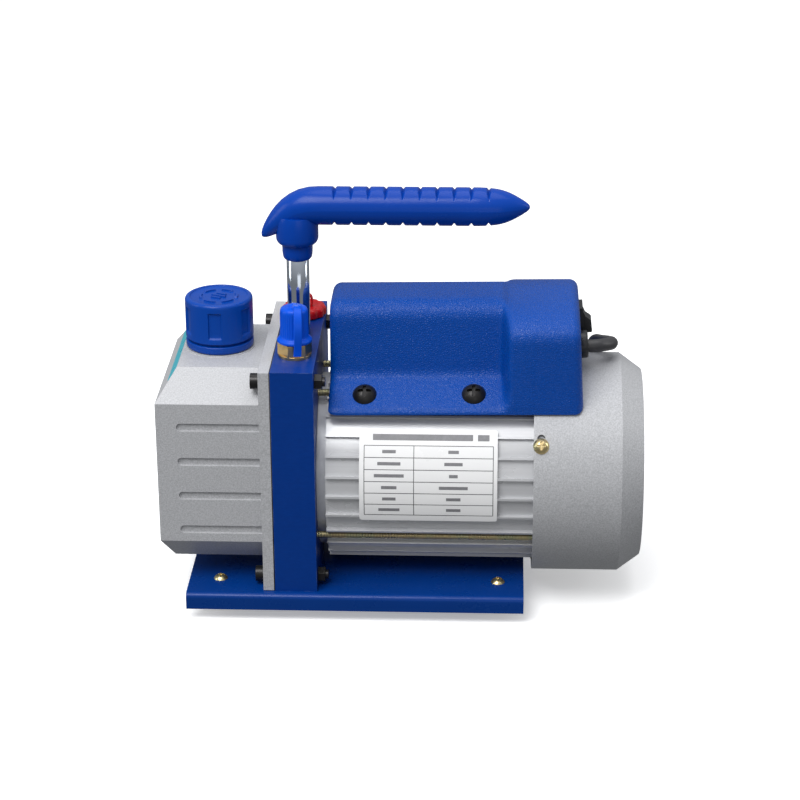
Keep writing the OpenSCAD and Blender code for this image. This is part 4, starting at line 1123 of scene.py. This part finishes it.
# ---- plug, gland, decal and oil
def make_plug():
    place = Matrix.Translation((-8.0, 81.0, 18.3)) @ Matrix.Rotation(-pi / 2, 4, "Y")
    relief = [(3.6, -0.2), (4.6, 0.0)]
    for k in range(6):
        z = 1.4 + 3.7 * k
        r = 4.9 + 0.58 * k
        relief += [(r, z), (r + 0.1, z + 1.9), (r - 1.0, z + 2.2), (r - 1.0, z + 3.2), (r + 0.25, z + 3.5)]
    relief += [(8.3, 24.0), (9.6, 25.2), (12.5, 25.9)]
    body = [(15.0, 26.4), (16.8, 27.3), (17.9, 29.0), (18.3, 31.0), (18.3, 33.5), (17.6, 35.5), (16.9, 38.0),
            (16.7, 41.5), (17.0, 45.0), (17.8, 47.6), (18.3, 49.6), (18.3, 54.2), (18.0, 55.2), (17.2, 55.8),
            (15.6, 56.0), (15.2, 55.4), (14.8, 55.0), (0.01, 55.0)]

    def shape(r, z, angle):
        if 34 < z < 49 and r > 15:
            depth = 0.5 * smoothstep((z - 34) / 3) * smoothstep((49 - z) / 3)
            return r - depth * wave(angle, 18)
        return r

    shell = new_piece("plug_body", spun(relief + body, even(144), shape), "cord_pvc", sharp=34.0, place=place)
    pin, faces = spun([(2.4, 54.5), (2.4, 71.6), (2.2, 73.0), (1.6, 74.1), (0.8, 74.7), (0.01, 74.9)], even(32))
    both = joined([([v + Vector((0, y, 0)) for v in pin], faces) for y in (-9.5, 9.5)])
    pins = new_piece("plug_pins", both, "steel", sharp=34.0, place=place)
    for piece in (shell, pins):
        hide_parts("power_plug")
    return [shell, pins]


def make_gland():
    profile = [(4.2, -2.0), (6.9, -0.2), (7.3, 0.2), (7.3, 2.9), (7.15, 3.3), (6.7, 3.75), (5.2, 3.9), (4.6, 3.6),
               (3.6, 3.1)]

    def shape(r, z, angle):
        if r > 6.6 and 0.1 < z < 3.4:
            return r * (1 - 0.035 * (1 - wave(angle, 6)))
        return r

    piece = new_piece("gland_nut", spun(profile, even(96), shape), "black_plastic", sharp=34.0,
                      place=end_frame(GLAND_Y, GLAND_H))
    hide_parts("cord_gland")


def make_decal():
    """Blank coloured film on the sloping end of the tank."""
    top, low = Vector((-116.2, 0, TANK_TOP)), Vector((-126.7, 0, TANK_TOP - 15))
    down = (low - top).normalized()
    out = Vector((down.z, 0, -down.x))
    rows = []
    for share, inset in ((0.04, 0.9), (0.06, 0.3), (0.10, 0.0), (0.25, 0.0), (0.36, 0.0), (0.41, 0.4), (0.44, 1.2)):
        half = 32 + 15 * share - 1.6 - inset
        rows.append([top.lerp(low, share) + Vector((0, side * half, 0)) + out * rise
                     for side, rise in ((-1, 0.04), (1, 0.04), (1, 0.16), (-1, 0.16))])
    new_piece("tank_decal", loft(rows), "label", look="teal_film", sharp=34.0)


def make_oil():
    """Oil standing behind the lower half of the sight glass, in front of a pale disc that is painted light inside the
    tank.
    """
    centre_z, radius = AXIS_H + 13, 11.9
    # the pale disc stands in for light inside the tank: painted light, not a part of the pump
    for name, first, last, x0, x1, look in (("oil_level", 186, 355, -121.0, -118.0, "oil"),
                                            ("sight_painted_light_disc", 0, 360, -117.8, -117.2, "label")):
        rows = [[round_x(x, radius, angle, centre_z) for angle in range(first, last, 8)] for x in (x0, x1)]
        new_piece(name, loft(rows), "sight_glass", look=look, sharp=40.0)


LOOKS = make_looks()
make_camera()
make_studio()
make_floor()

make_cord(make_plug())
make_cover()
make_grip()
make_oil_cap()
make_inlet_cap()
make_red_cap()
make_label()
make_gland()
make_decal()
make_oil()

# the sight glass's ring gets no bevel: its opening has to stay open
BEVELS = {name: width for width, names in (
    (0.00012, "foot_screws end_cap_screws"),
    (0.00015, "box_screws"),
    (0.0002, "motor_housing tie_rod_nuts"),
    (0.0003, "block_screws tank_bolts tank_bolt_nuts sight_glass inlet_fitting inlet_cap second_port drain_plug"
             " cooling_fan"),
    (0.0004, "base_plate oil_filler_neck red_cap motor_front_plate motor_rear_plate switch_housing cord_gland"),
    (0.0005, "pump_block oil_cap switch_rocker"),
    (0.0006, "rubber_feet"),
    (0.0008, "end_cap"),
    (0.001, "electrical_box"),
    (0.0012, "oil_tank power_plug"),
) for name in names.split()}

# the cast filler neck takes the black rubber look, as painted shade under the oil cap
OWN_LOOKS = {"tie_rods": "threaded_zinc", "oil_filler_neck": "rubber"}
for row in RECORD["subparts"]:
    look = LOOKS[OWN_LOOKS.get(row["node"], row["material_slot"])]
    dress_node(row["node"], look, BEVELS.get(row["node"], 0.0))

bpy.context.view_layer.update()
